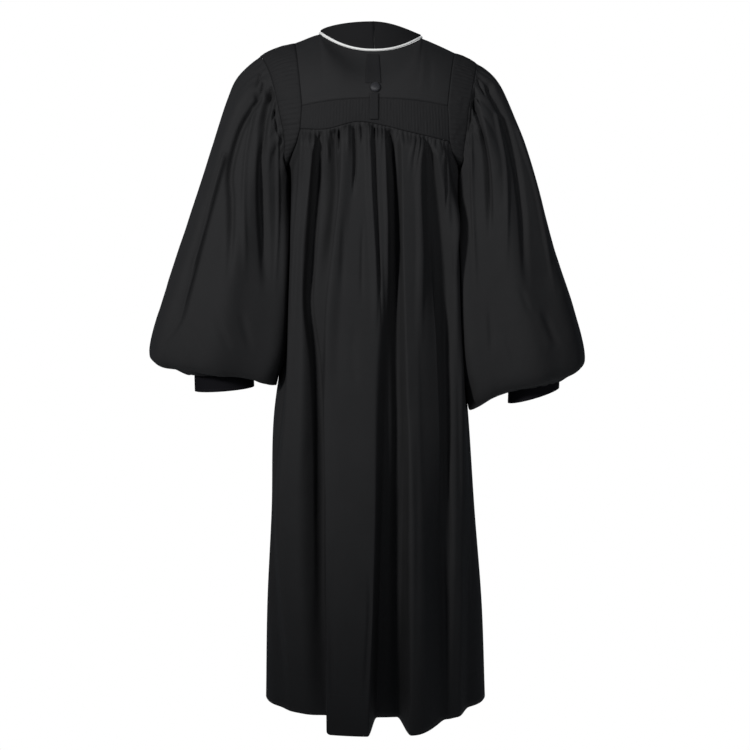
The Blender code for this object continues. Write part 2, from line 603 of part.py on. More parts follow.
def even_shares(side, count, start=0.0):
    """Shares of the way down the armhole, from start to the armpit, that part it into even lengths."""
    fine = np.linspace(start, 1, 600)
    along = shares_along(armhole_back(side, fine))
    return np.interp(np.linspace(0, along[-1], count), along, fine)


def both_faces(back):
    """A ring from its back half: the same points again before the side seams, in reverse order."""
    return np.concatenate([back, back[-2:0:-1] * np.array([1, -1, 1])])


# Back panel


def gather_height(below):
    """How far a gather stands out at a distance below its seam."""
    start = GATHER_AT_SEAM + (1 - GATHER_AT_SEAM) * ease(below / GATHER_RISE)
    return GATHER_HIGH * start * np.exp(-(below / GATHER_LONG) ** 2)


def back_columns():
    """Where each column of the back starts: its place across the body and its drop."""
    left, right = (armhole_back(side, even_shares(side, ARMHOLE_COLUMNS + 1, BAND_END)[1:])
                   for side in SIDES)
    band = band_line(np.linspace(-1, 1, BAND_GATHERS * 2 + 1), 1.0)
    edge = np.concatenate([left[::-1], band, right])
    wide, _, shift, _ = section(-edge[:, 2])
    return np.clip((edge[:, 0] - shift) / wide, -1, 1), -edge[:, 2]


def make_back():
    top_cross, top_drop = back_columns()
    columns = len(top_cross)
    downs = np.array(BACK_DOWNS)[:, None]
    start = top_drop + SEAM
    drop = start + (HEM_DROP - start) * downs
    even = np.stack([even_cross(columns, level, BACK) for level in drop.max(axis=1)])
    cross = top_cross + (even - top_cross) * ease(downs * BACK_EVENED)
    base = folded_body(cross, drop, BACK, rise=ease((drop - start) / FOLD_RISE))
    base[..., 2] -= HEM_SAG * fold_height(BACK_FOLDS, base[..., 0], drop) * (drop / HEM_DROP) ** 4
    index = np.arange(columns) - ARMHOLE_COLUMNS
    gathered = (index >= 0) & (index < columns - 2 * ARMHOLE_COLUMNS)
    stands = np.where(index % 2 == 1, 1.0, -1.0) * gathered
    grid = push_out(base, cross, drop, BACK, stands * gather_height(drop - start))
    cloth_wall("back", grid, INSIDE_BACK, face=BACK)


# Fronts and fly


def front_upper(side, shares, downs):
    """Points of a front above the chest, [down, across], from the neckline and the shoulder line."""
    on_neck = np.minimum(shares / neck_share(side), 1)
    even_x = shares * YOKE_REACH_LOW
    neck_x = NECK_REACH[side] * np.sin(on_neck * np.pi / 2)
    pull = FRONT_PULL * (neck_x - np.minimum(even_x, neck_share(side) * YOKE_REACH_LOW))
    x = even_x + pull * np.clip((1 - shares) / (1 - neck_share(side)), 0, 1)
    drop = FRONT_CHEST_DROP + (YOKE_DROP_END - FRONT_CHEST_DROP) * shares ** 2
    return fall(side, shares, FRONT, point_at(side * np.maximum(x, SEAM / 2), drop, FRONT), downs)


def front_lower(side, shares, arm_rows, lower):
    """Points of a front from the chest down, [down, across]: beside the armhole, then below the armpit."""
    arm_edge = armhole_back(side, even_shares(side, arm_rows + 1, YOKE_END)[:-1])
    edge_drop = np.concatenate([-arm_edge[:, 2], ARMPIT_DROP + (HEM_DROP - ARMPIT_DROP) * np.asarray(lower)])
    wide, _, shift, _ = section(edge_drop)
    edge_cross = np.ones(len(edge_drop))
    edge_cross[:arm_rows] = side * (arm_edge[:, 0] - shift[:arm_rows]) / wide[:arm_rows]
    edge_cross = edge_cross[:, None]
    passed = ((edge_drop - YOKE_DROP_END) / (HEM_DROP - YOKE_DROP_END))[:, None]
    centre_drop = FRONT_CHEST_DROP + (HEM_DROP - FRONT_CHEST_DROP) * passed
    drop = centre_drop + (edge_drop[:, None] - centre_drop) * shares ** 2
    even = np.stack([np.abs(even_cross(len(shares), level, FRONT, side)) for level in edge_drop])
    spread = shares + (even - shares) * ease(passed * FRONT_EVENED)
    cross = side * np.clip(np.maximum(edge_cross * spread, SEAM / 2 / wide[:, None]), 0, 1)
    rise = np.where(edge_cross < 1, ease((1 - shares) / FRONT_HOLD), 1.0)
    grid = folded_body(cross, drop, FRONT, side, rise)
    grid[:, 0, 0] = side * SEAM / 2
    return grid


def front_points(side):
    shares = np.linspace(0, 1, FRONT_COLUMNS)
    return np.concatenate([front_upper(side, shares, FRONT_UPPER),
                           front_lower(side, shares, FRONT_ARM_ROWS, FRONT_LOWER)])


def make_front(side):
    cloth_wall(f"front_{SIDES[side]}", front_points(side), INSIDE_FRONT, face=FRONT)


def make_fly():
    """The strip over the centre front closure, from both fronts' points moved out."""
    x = FLY_HALF_WIDE * np.linspace(-1, 1, FLY_COLUMNS)
    rows = []
    for left, right in zip(front_points(-1), front_points(1)):
        line = np.concatenate([left[::-1], right])
        rows.append(np.stack([x, np.interp(x, line[:, 0], line[:, 1]), np.interp(x, line[:, 0], line[:, 2])],
                             axis=-1))
    grid = np.array(rows)
    grid[0] += (grid[1] - grid[0]) * FLY_TRIM
    normals = outward_normals(grid, INSIDE_FRONT)
    inner = grid + FLY_LIFT * normals
    wall("front_fly", inner + CLOTH * normals, inner, BLACK_CLOTH)


# Sleeves and cuffs


def inside_sleeve(side, reach=0.28, drop=0.42):
    return (side * reach, 0, -drop)


def head_offset(side, shares):
    """From the armhole to the edge of the fluted sleeve head, for each point of the ring."""
    wide, outward, forward, down = (column_of(HEAD[side], "share", name, shares)
                                    for name in HeadReach._fields[1:])
    return both_faces(unit(np.stack([side * outward, forward, -down], axis=-1)) * wide[:, None])


def sleeve_ring(side, place, turn):
    """The plain ring of the sleeve at a place along its table."""
    rows = SLEEVE[side]
    outer_reach, outer_drop, inner_reach, inner_drop, half_deep, mid_y, hang = (
        through(np.arange(len(rows)), [getattr(row, name) for row in rows], place)
        for name in SleeveRing._fields)
    middle = np.stack([side * (outer_reach + inner_reach) / 2, mid_y, -(outer_drop + inner_drop) / 2])
    half = np.stack([side * (outer_reach - inner_reach) / 2, 0, -(outer_drop - inner_drop) / 2])
    turn = turn[:, None]
    sag = hang * ((1 - np.cos(turn)) / 2) ** HANG_NARROW
    to_front = np.array([0, half_deep, 0])
    return middle + half * np.cos(turn) - to_front * np.sin(turn) - np.array([0, 0, 1]) * sag


def sleeve_lift(side, place, degrees):
    """How far the sleeve's main folds lift the cloth."""
    along = place / (len(SLEEVE[side]) - 1)
    lift = np.zeros(np.broadcast(place, degrees).shape)
    for fold in SLEEVE_FOLDS[side]:
        crest = fold.turn_top + (fold.turn_low - fold.turn_top) * along
        away = (degrees - crest + 180) % 360 - 180
        high = fold.high_top + (fold.high_low - fold.high_top) * along
        lift += high * np.exp(-(away / fold.wide) ** 2)
    fade_at, fade_rings = SLEEVE_FOLDS_FADE
    return lift * ease(place / SLEEVE_FOLDS_RISE) * (1 - ease((place - fade_at) / fade_rings))


def whole_sleeve(side, points, places):
    """The fluted head and the sleeve below it as one grid, [ring, round], with its normals. The head is the
    first three rings."""
    turn = np.linspace(0, 2 * np.pi, points, endpoint=False)
    shares = even_shares(side, points // 2 + 1)
    armhole = both_faces(armhole_back(side, shares)) + np.array([side * ARMHOLE_GAP, 0, 0])
    offset = head_offset(side, shares)
    spare = armhole + offset - sleeve_ring(side, 0, turn)
    rest = np.array([sleeve_ring(side, place, turn) + spare * (1 - ease(place / SLEEVE_EASED))
                     for place in places])
    lift = sleeve_lift(side, np.asarray(places)[:, None], np.degrees(turn))
    rest += lift[..., None] * outward_normals(rest, inside_sleeve(side), ring=True)

    near = rest[1:]
    reach = body_reach(side, near[..., 1], -near[..., 2]) + SLEEVE_CLEAR
    out = side * near[..., 0]
    below = ease((-near[..., 2] - ARMPIT_DROP + UNDERARM_EASE[0]) / UNDERARM_EASE[1])
    near[..., 0] = side * (out + np.maximum(reach - out, 0) * below)

    head = np.stack([armhole, armhole + offset * 0.5])
    puff = outward_normals(np.concatenate([head, rest[:1]]), inside_sleeve(side, 0.19, 0.17), ring=True)
    head[1] += HEAD_PUFF[side] * puff[1]
    grid = np.concatenate([head, rest])
    return grid, outward_normals(grid, inside_sleeve(side, 0.25, 0.38), ring=True)


def gather_share(points):
    """How much of the gathers and flutes each point round a sleeve has: all but at the underarm."""
    return ease((1 + np.cos(np.linspace(0, 2 * np.pi, points, endpoint=False))) / UNDERARM_PLAIN)


def make_sleeve_head(side, grid, normals):
    """The fluted head, on the first three rings of the sleeve."""
    head = grid[:3].copy()
    head[2] -= unit(head[2] - head[1]) * HEAD_SEAM / 2
    points = head.shape[1]
    crest = FLUTE_HIGH * (np.arange(points) % 2 == 1) * gather_share(points)
    wall(f"sleeve_head_{SIDES[side]}", head + crest[:, None] * normals[:3], head - CLOTH * normals[:3],
         BLACK_CLOTH, ring=True)


def make_sleeve(side, grid, normals):
    """The sleeve below its head, on every second point round, gathered at both ends."""
    tube, first_normals = grid[2:, ::2].copy(), normals[2, ::2]
    points = tube.shape[1]
    tube[0] += unit(tube[1] - tube[0]) * HEAD_SEAM / 2
    steps = np.linalg.norm(np.diff(tube, axis=0), axis=-1)
    below = np.cumsum(np.concatenate([np.zeros((1, points)), steps]), axis=0)
    above = below[-1] - below
    stands = np.where(np.arange(points) % 2 == 1, 1.0, -1.0) * gather_share(points)
    at_cuff = CUFF_GATHER * np.exp(-(above / CUFF_GATHER_LONG) ** 2) * ease(above / CUFF_GATHER_RISE)
    tube += normals[2:, ::2] * (stands * (gather_height(below) + at_cuff))[..., None]
    tube = np.concatenate([tube, cuff_ring(side, points, 0)[None] + np.array([0, 0, SEAM])])
    inner = tube - CLOTH * outward_normals(tube, inside_sleeve(side), ring=True)
    inner[0] = tube[0] - CLOTH * first_normals
    wall(f"sleeve_{SIDES[side]}", tube, inner, BLACK_CLOTH, ring=True)


def cuff_ring(side, points, share):
    """One ring of the cuff, from its upper edge at 0 to its lower edge at 1."""
    turn = np.linspace(0, 2 * np.pi, points, endpoint=False)
    outer_reach, inner_reach = CUFF_REACH[side]
    outer_low, inner_low = CUFF_DROP[side]
    last = SLEEVE[side][-1]
    outer_top, inner_top = last.outer_drop - CUFF_TOP_LIFT, last.inner_drop - CUFF_TOP_LIFT
    outer_drop = outer_top + (outer_low - outer_top) * share
    inner_drop = inner_top + (inner_low - inner_top) * share
    weight = (1 + np.cos(turn)) / 2
    x = side * (inner_reach + (outer_reach - inner_reach) * weight)
    y = CUFF_MID_Y - CUFF_HALF_DEEP * np.sin(turn)
    return np.stack([x, y, -(inner_drop + (outer_drop - inner_drop) * weight)], axis=-1)


def make_cuff(side):
    grid = np.stack([cuff_ring(side, CUFF_POINTS, share) for share in (0, 0.5, 1)])
    cloth_wall(f"cuff_{SIDES[side]}", grid, grid.mean(axis=(0, 1)), ring=True)


# Neckband and piping


def neck_seam(side, count, face):
    """The neck seam from the centre to one shoulder."""
    return upper_edge(side, np.linspace(0, neck_share(side), count) * SEAM_END, face)


def neck_way(line):
    """The way in which cloth stands up from the neck seam: square to it, up and towards the neck."""
    tangent = unit(np.gradient(line, axis=0))
    way = NECK_LEAN * unit(-line * np.array([1, 1, 0])) + np.array([0, 0, NECK_RISE])
    return unit(way - np.sum(way * tangent, axis=-1, keepdims=True) * tangent)


def make_neckband(side):
    """One half of the crescent that stands up from the neck seam, tapering away at the shoulder."""
    seam = neck_seam(side, NECK_POINTS, BACK)
    turn = np.linspace(0, np.pi / 2, NECK_POINTS)
    foot = seam + neck_way(seam) * 2 * (PIPING_RADIUS + PIPING_GAP)
    end = foot[-1]
    least = end[2] + NECKBAND_LEAST
    peak = np.stack([
        NECKBAND_TOP[0] + (end[0] - NECKBAND_TOP[0]) * np.sin(turn),
        NECKBAND_TOP[1] * np.cos(turn),
        least + (NECKBAND_TOP[2] - least) * np.cos(turn) ** NECKBAND_FALL[side],
    ], axis=-1)
    peak[:, 2] = np.maximum(peak[:, 2], foot[:, 2] + NECKBAND_LEAST)
    foot, peak = foot[:-1], peak[:-1]
    foot[0, 0] = peak[0, 0] = NECK[BACK].x + side * SEAM / 2
    grid = np.stack([peak + (foot - peak) * s for s in (0, 0.5, 1)])
    inner = grid - CLOTH * outward_normals(grid, INSIDE_NECK)
    inner[:, 0, 0] = grid[:, 0, 0]
    wall(f"neckband_{SIDES[side]}", grid, inner, BLACK_CLOTH)


def piping_line():
    """The neck seam all round, from the left end at the centre front by the back to the right end."""
    halves = []
    for side in SIDES:
        front = neck_seam(side, FRONT_NECK_POINTS, FRONT)
        front[0] += unit(front[1] - front[0]) * PIPING_OPEN
        halves.append(np.concatenate([neck_seam(side, NECK_POINTS, BACK)[:-1], front[-2::-1]]))
    return np.concatenate([halves[0][::-1], halves[1][1:]])


def make_piping():
    """The white cord in the neck seam, open at the centre front."""
    line = piping_line()
    centre = line + neck_way(line) * (PIPING_RADIUS + PIPING_GAP)
    tangent = unit(np.gradient(centre, axis=0))
    sideways = unit(np.cross(tangent, neck_way(line)))
    up = unit(np.cross(sideways, tangent))
    turn = np.linspace(0, 2 * np.pi, PIPING_SIDES, endpoint=False)[None, :, None]
    around = np.cos(turn) * sideways[:, None] + np.sin(turn) * up[:, None]
    capped_tube("neck_piping", centre[:, None] + PIPING_RADIUS * around, WHITE_CORD)


# Strap, tab and button


def centre_back_point(x, drop, lift):
    """A point over the yoke or the band near the centre back, lifted off the cloth."""
    side = 1 if x >= 0 else -1
    on_yoke = yoke_grid(side, np.array([abs(x) / YOKE_REACH_LOW]), np.linspace(0, 1, 60))[:, 0]
    on_band = band_line(np.full(30, x / YOKE_REACH_LOW), np.linspace(0.02, 1, 30))
    column = np.concatenate([on_yoke, on_band])
    y = np.interp(drop, -column[:, 2], column[:, 1])
    tilt = np.interp(drop, -column[:, 2], np.gradient(column[:, 1], column[:, 2]))
    return np.array([x, y, -drop]) + unit(np.array([0, -1.0, tilt])) * lift


def make_strip(name, x, half_top, half_low, drops, lift):
    """A flat strip of cloth down the centre back."""
    layers = {lift + CLOTH: [], lift: []}
    for share in np.linspace(0, 1, STRAP_ROWS):
        drop = drops[0] + (drops[1] - drops[0]) * share
        half = half_top + (half_low - half_top) * share
        across = x + half * np.linspace(-1, 1, STRAP_COLUMNS)
        for height, rows in layers.items():
            rows.append([centre_back_point(v, drop, height) for v in across])
    outer, inner = (np.array(rows) for rows in layers.values())
    wall(name, outer, inner, BLACK_CLOTH)


def make_button():
    """A covered dome button with a flat middle, on the yoke between the strap and the tab."""
    middle = centre_back_point(BUTTON_X, BUTTON_DROP, 0)
    lower, upper = (centre_back_point(BUTTON_X, BUTTON_DROP + way * BUTTON_RADIUS / 2, 0) for way in (1, -1))
    up = unit(upper - lower)
    right = np.array([1.0, 0, 0])
    out = unit(np.cross(right, up))
    out = out if out[1] < 0 else -out
    turn = np.linspace(0, 2 * np.pi, BUTTON_SIDES, endpoint=False)[:, None]
    around = np.cos(turn) * np.cross(out, up) + np.sin(turn) * up
    foot = middle + out * STRAP_LIFT
    rings = [foot + out * ring.high * BUTTON_HIGH + BUTTON_RADIUS * ring.radius * around for ring in BUTTON]
    capped_tube("back_button", np.array(rings), BUTTON_CLOTH)


def parent_all(name):
    """Puts every piece under one empty at the robe's origin."""
    pieces = list(bpy.data.objects)
    robe = bpy.data.objects.new(name, None)
    bpy.context.scene.collection.objects.link(robe)
    for piece in pieces:
        piece.parent = robe


def main():
    clear_scene()
    make_yoke()
    make_back_fluting()
    make_back()
    make_fly()
    make_piping()
    for side in SIDES:
        make_front(side)
        grid, normals = whole_sleeve(side, SLEEVE_FLUTES * 2, SLEEVE_PLACES)
        make_sleeve_head(side, grid, normals)
        make_sleeve(side, grid, normals)
        make_cuff(side)
        make_neckband(side)
    make_strip("back_strap", STRAP_X, STRAP_HALF_TOP, STRAP_HALF_LOW, STRAP_DROPS, STRAP_LIFT)
    make_strip("back_tab", TAB_X, TAB_HALF_WIDE, TAB_HALF_WIDE, TAB_DROPS, FLUTE_HIGH + STRAP_LIFT)
    make_button()
    parent_all("robe")


main()
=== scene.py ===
"""Looks of the clergy robe: each cloth piece is a thin two-layer shell on the form of its solid, with finer
folds, flutes, gathers and creases, and sewing; with its materials, light, floor and camera.

Metres. +X is the wearer's right, +Y the wearer's front and +Z up, and the origin lies between the points
where the neck seam crosses the shoulders. Heights are given as drops below it. Side -1 is the wearer's
left, and face -1 is the back of the body.
"""
from collections import namedtuple

import bpy
import numpy as np
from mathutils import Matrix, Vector


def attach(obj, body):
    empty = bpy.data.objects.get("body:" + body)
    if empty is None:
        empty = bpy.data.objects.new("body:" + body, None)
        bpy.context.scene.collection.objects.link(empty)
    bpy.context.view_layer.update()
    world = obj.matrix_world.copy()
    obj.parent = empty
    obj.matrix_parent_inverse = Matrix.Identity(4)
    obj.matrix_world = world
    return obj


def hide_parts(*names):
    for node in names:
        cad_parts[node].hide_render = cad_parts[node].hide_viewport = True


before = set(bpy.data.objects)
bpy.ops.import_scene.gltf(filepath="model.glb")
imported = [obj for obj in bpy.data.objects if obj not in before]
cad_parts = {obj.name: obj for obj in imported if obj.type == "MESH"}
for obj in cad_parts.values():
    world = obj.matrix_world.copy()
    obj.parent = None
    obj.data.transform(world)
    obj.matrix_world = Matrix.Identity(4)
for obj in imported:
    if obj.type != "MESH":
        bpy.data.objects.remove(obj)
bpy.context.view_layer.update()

# Driving sizes
HEM_DROP = 1.362            # shoulder at the neck to hem
SEAM = 0.0006               # gap between two pieces at a seam
SIDES = {-1: "left", 1: "right"}
BACK, FRONT = -1, 1

SHELL = 0.0010              # thickness of the shells shown here
HEM_WIDE = 0.080            # cloth turned up at the hem


def metres(values, per):
    """Numbers of which so many make a metre, in tables of any depth, as metres."""
    return tuple(metres(v, per) if isinstance(v, tuple) else v / per for v in values)


def rows_of(kind, per, *rows):
    """Rows of one kind. per is one of the units below."""
    return [kind(*metres(row, per)) for row in rows]


# How the tables' numbers are written: in millimetres, in tenths of one, or in metres and other units
MM, TENTH_MM, PLAIN = 1000, 10000, 1

# Shoulder line, by distance from the middle
ShoulderPoint = namedtuple("ShoulderPoint", "reach drop")
SHOULDER = {
    -1: rows_of(ShoulderPoint, MM,
        (90, 0), (110, 2), (150, 16), (199, 34), (240, 50),
    ),
    1: rows_of(ShoulderPoint, MM,
        (70, 3), (93, 10), (125, 23), (162, 40), (205, 60),
    ),
}

# Neckline: its middle at the back and the front, how square it is, and how steeply the cloth leaves it
NeckMiddle = namedtuple("NeckMiddle", "x deep drop squareness slope")
NECK = {BACK: NeckMiddle(-0.002, 0.070, 0.040, 2.2, 62), FRONT: NeckMiddle(0.0, 0.098, 0.088, 2.6, 66)}
NECK_REACH = {-1: 0.110, 1: 0.093}
SHOULDER_SLOPE = 10         # degrees, how steeply the cloth leaves the shoulder line

# Yoke
YOKE_SEWN = -4              # row of its stitches
YOKE_REACH_TOP = 0.158      # half width at the shoulder line
YOKE_REACH_LOW = 0.139      # half width at the fluted band
YOKE_DROP_MID = 0.132       # lower edge at the centre back
YOKE_DROP_END = 0.146       # lower edge at the armholes
DRAPE_HANDLE = 0.42         # how far a curve from the shoulder keeps its direction at each end, by its length
DRAPE_ACROSS = 0.33         # the same, across
DRAPE_OUT = 0.10            # how far the cloth still leans out where that curve ends

# Fluted band under the yoke
BAND_FLUTES = 48            # across the band
FLUTE_HIGH = 0.0016         # flutes of the solids
FINE_FLUTE_HIGH = 0.0009    # those shown here
HEAD_FLUTE_HIGH = 0.0021    # those shown on the sleeves' heads
FLUTE_HELD = 0.4            # share of a flute's height that it has in its seams
FLUTE_OPENS = 0.12          # share of its length in which it gets the rest
BandEdge = namedtuple("BandEdge", "x drop")
BAND_LOW = rows_of(BandEdge, MM,
    (-143, 189), (-96, 190), (-30, 176), (20, 184), (60, 194), (105, 204), (143, 213),
)

# Armhole: the yoke ends at the first share of the way down, the band at the second, and the rest curves
# out to the side seam
YOKE_END, BAND_END = 0.42, 0.58
ARMPIT_DROP = 0.288
ArmholeEdge = namedtuple("ArmholeEdge", "share reach")
ARMHOLE_LOW = rows_of(ArmholeEdge, PLAIN,
    (0, 0), (0.3, 0.16), (0.6, 0.5), (0.8, 0.8), (0.92, 0.94), (1, 1),
)

# The body's cross-section at each drop, without its folds
BodySection = namedtuple("BodySection", "drop half_wide half_deep shift squareness")
BODY = rows_of(BodySection, PLAIN,
    (0.12, 0.205, 0.131, -0.002, 2.9), (0.21, 0.196, 0.134, -0.002, 2.8), (0.288, 0.174, 0.134, -0.003, 2.5),
    (0.42, 0.174, 0.13, -0.003, 2.3), (0.52, 0.177, 0.127, -0.004, 2.2), (0.62, 0.183, 0.125, -0.005, 2.1),
    (0.76, 0.199, 0.124, -0.008, 2), (0.96, 0.21, 0.124, -0.004, 2), (1.16, 0.224, 0.125, -0.001, 2),
    (1.362, 0.231, 0.126, 0.001, 2),
)

# Main folds at five drops. left and right are the edges of a fold's crest, rise and fall are how wide its
# flanks to the left and right of that are, and high is its height
FOLD_DROPS = (0.20, 0.42, 0.66, 0.95, 1.362)
FOLD_UNION = 3.0            # how sharply two neighbouring folds stay apart
FOLD_RISE = 0.032           # below a seam the main folds reach their full height in this length
FOLD_SIDEWAYS = 0.3         # how much folds beside a side seam stand out sideways as well
SIDE_HOLD = 0.08            # share of the body beside a side seam in which folds fade
HEM_SAG = 0.07              # how much lower the hem hangs per height of fold
Fold = namedtuple("Fold", "left right rise fall high")
BACK_FOLDS = rows_of(Fold, MM,
    ((-150, -156, -164, -178, -168), (-113, -136, -140, -150, -140), (14, 14, 16, 20, 30), (16, 22, 40, 55, 50),
     (18, 34, 46, 46, 8)),
    ((-55, -74, -92.5, -92.5, -89), (15, 13.5, 0.5, -1.5, -14), (14, 18, 12, 10, 10), (20, 27, 34, 20, 18),
     (16, 28, 40, 53, 84)),
    ((51, 53, 60, 70, 68), (87, 80.5, 78, 82, 74), (12, 10, 15, 24, 24), (14, 28, 46, 56, 105),
     (17, 29, 41, 55, 84)),
    ((111.5, 149, 156, 160, 150), (129, 154, 161, 168, 165), (10, 30, 32, 34, 30), (12, 12, 14, 20, 30),
     (13, 35, 35, 26, 30)),
    ((-90, -110, -120, -125, -125), (90, 116, 122, 125, 125), (30, 30, 35, 40, 40), (30, 30, 35, 40, 40),
     (0, 10, 16, 12, 0)),
)


def crests(*rows):
    """Folds with a line for a crest: its place, rise, fall and height at each of the drops."""
    return rows_of(Fold, MM, *((row[0], *row) for row in rows))


FRONT_FOLDS = {
    -1: crests(
        ((58, 58, 59, 62, 66), (36, 37, 38, 40, 42), (40, 41, 42, 44, 46), (0, 9, 19, 30, 44)),
        ((112, 115, 120, 128, 138), (30, 32, 34, 36, 40), (30, 33, 38, 46, 50), (0, 9, 17, 26, 36)),
        ((150, 155, 166, 182, 192), (22, 24, 25, 27, 30), (20, 21, 22, 24, 26), (0, 5, 9, 12, 14)),
    ),
    1: crests(
        ((58, 58, 59, 60, 62), (36, 36, 37, 37, 38), (40, 41, 42, 43, 44), (0, 8, 18, 32, 46)),
        ((104, 107, 112, 120, 130), (30, 32, 34, 36, 40), (30, 32, 35, 38, 42), (0, 9, 18, 28, 38)),
        ((148, 153, 163, 178, 190), (22, 23, 24, 26, 28), (20, 21, 22, 24, 26), (0, 5, 9, 12, 14)),
    ),
}

# Gathers, the small folds that hang from a seam
GATHER_AT_SEAM = 0.3        # share of a gather's height that it already has in the seam
GATHER_RISE = 0.015         # length in which it gets the rest

# How the cloth of the back and the fronts is spread over their rows and columns
BACK_PACKED = 1.35          # how much closer its upper rows lie
BACK_EVENED = 2.2           # how soon its columns are evenly spread, as a rate over the way down
FRONT_EVENED = 2.0          # the same for the fronts
FRONT_CHEST_DROP = 0.176    # lower end of the fronts' upper part, at the centre
FRONT_PULL = 0.6            # how far its columns follow the neckline and not the chest
FRONT_HOLD = 0.16           # share of a front beside the armhole in which folds fade

# Fly over the centre front
FLY_HALF_WIDE = 0.017
FLY_LIFT = 0.0012

# A sleeve's rings. Each is an ellipse from its outer point to its inner one, as deep as half_deep to each
# side of mid_y, and hang is how much further down its inner end sags
SleeveRing = namedtuple("SleeveRing", "outer_reach outer_drop inner_reach inner_drop half_deep mid_y hang")
SLEEVE = {
    -1: rows_of(SleeveRing, MM,
        (226, 44, 184, 298, 98, 0, 0), (270, 84, 182, 322, 94, -4, 0), (292, 129, 176, 350, 90, -10, 0),
        (318, 207, 170, 382, 86, -18, 0), (344, 286, 168, 420, 84, -24, 0), (372, 366, 168, 466, 86, -26, 0),
        (400, 446, 170, 520, 90, -26, 0), (428, 527, 174, 578, 96, -24, 2), (449, 592, 182, 630, 100, -20, 7),
        (456, 630, 196, 664, 98, -16, 13), (449, 647, 203, 678, 88, -12, 19),
        (414, 660, 216, 674, 70, -10, 14), (380, 675, 234, 670, 56, -10, 4),
        (372, 668, 241, 668, 50.5, -10, 0),
    ),
    1: rows_of(SleeveRing, MM,
        (200, 59, 184, 300, 98, 0, 0), (238, 92, 182, 326, 94, -4, 0), (262, 132, 174, 354, 88, -10, 0),
        (293, 207, 168, 388, 82, -18, 0), (319, 286, 165, 428, 80, -24, 0), (342, 366, 164, 476, 82, -26, 0),
        (366, 446, 166, 532, 86, -26, 0), (395, 527, 170, 590, 92, -24, 4), (417, 598, 176, 646, 98, -20, 12),
        (425, 638, 186, 688, 98, -16, 26), (422, 658, 192, 708, 90, -12, 40),
        (406, 671, 214, 710, 74, -10, 34), (384, 684, 262, 706, 56, -10, 2),
        (380, 678, 267, 700, 50.5, -10, 0),
    ),
}
SLEEVE_EASED = 3.0          # the ring by which a sleeve has let go of the form of its head
HANG_NARROW = 7.0           # how narrow the sagging inner end is
SLEEVE_CLEAR = 0.0022       # between a sleeve and the body panels
SLEEVE_LOWEST = 0.80        # a drop below both sleeves
UNDERARM_EASE = (0.010, 0.040)  # that clearance comes in from above the armpit, and over this length

# Sleeve folds, by angle round the sleeve: 0 at the outside, 90 at the back, 180 inside and 270 at the front
SleeveFold = namedtuple("SleeveFold", "turn_top turn_low wide high_top high_low")
SLEEVE_FOLDS = {
    -1: rows_of(SleeveFold, PLAIN,
        (50, 36, 12, 0.009, 0.006), (93, 96, 14, 0.01, 0.004), (143, 140, 13, 0.008, 0.004),
        (250, 240, 16, 0.008, 0.004), (290, 296, 15, 0.009, 0.004), (332, 330, 13, 0.008, 0.004),
    ),
    1: rows_of(SleeveFold, PLAIN,
        (30, 40, 12, 0.006, 0.004), (83, 84, 14, 0.01, 0.005), (139, 140, 13, 0.008, 0.004),
        (246, 240, 16, 0.008, 0.004), (286, 294, 15, 0.009, 0.004), (326, 332, 13, 0.008, 0.004),
    ),
}
SLEEVE_FOLDS_RISE = 1.1     # the ring by which they have their full height
SLEEVE_FOLDS_FADE = (9.0, 2.5)  # the ring at which they start to fade, and in how many rings

# How far the fluted sleeve head reaches out from the armhole, by share of the way from shoulder to armpit
HeadReach = namedtuple("HeadReach", "share wide outward forward down")
HEAD = {
    -1: rows_of(HeadReach, PLAIN,
        (0, 0.072, 0.93, 0, 0.345), (0.22, 0.06, 0.9, 0.32, 0.26), (0.45, 0.046, 0.9, 0.4, 0.14),
        (0.62, 0.032, 0.9, 0.42, 0.1), (0.8, 0.016, 0.86, 0.3, 0.36), (1, 0.01, 0.66, 0, 0.75),
    ),
    1: rows_of(HeadReach, PLAIN,
        (0, 0.044, 0.92, 0, 0.44), (0.22, 0.048, 0.9, 0.32, 0.26), (0.45, 0.042, 0.9, 0.4, 0.14),
        (0.62, 0.028, 0.9, 0.42, 0.1), (0.8, 0.015, 0.86, 0.3, 0.36), (1, 0.01, 0.66, 0, 0.75),
    ),
}
SLEEVE_FLUTES = 40
ARMHOLE_GAP = 0.0017        # between the armhole and a sleeve's head
SEWN = 0.0003               # seams of the fine cloth
SIDE_SEWN = 0.00003         # half the gap at its side seams
FROM_SEAM = 0.25            # lines of folds that begin above this drop come from a seam
SIDE_FULL = 0.011           # how much fuller the fine back is beside its side seams, under the arms
SLEEVE_FULL = 0.018         # how much fuller the fine sleeve is between its back and the body
SLEEVE_FULL_AT = (158, 27)  # degrees round it where it is fullest, and how wide that stretch is
ARMPIT_CLOSE = 0.0105       # how far it comes in under the arm at most
ARMPIT_APART = 0.0018       # gap that it leaves there
HEAD_PUFF = {-1: 0.0036, 1: 0.0012}  # how far a head stands out midway
UNDERARM_PLAIN = 0.8        # how wide the stretch at the underarm is that has no gathers or flutes

# Cuffs, in the line of the sleeve's last ring
CUFF_TOP_LIFT = 0.014       # above the sleeve's last table ring
CUFF_DROP = {-1: (0.711, 0.702), 1: (0.704, 0.736)}   # lower edge at the outside and the inside
CUFF_REACH = {-1: (0.367, 0.246), 1: (0.375, 0.271)}  # outer and inner point
CUFF_HALF_DEEP = 0.045      # from its middle to the back and to the front
CUFF_MID_Y = -0.010
CUFF_TURN_IN = 0.016        # length of a sleeve that turns in over the cuff

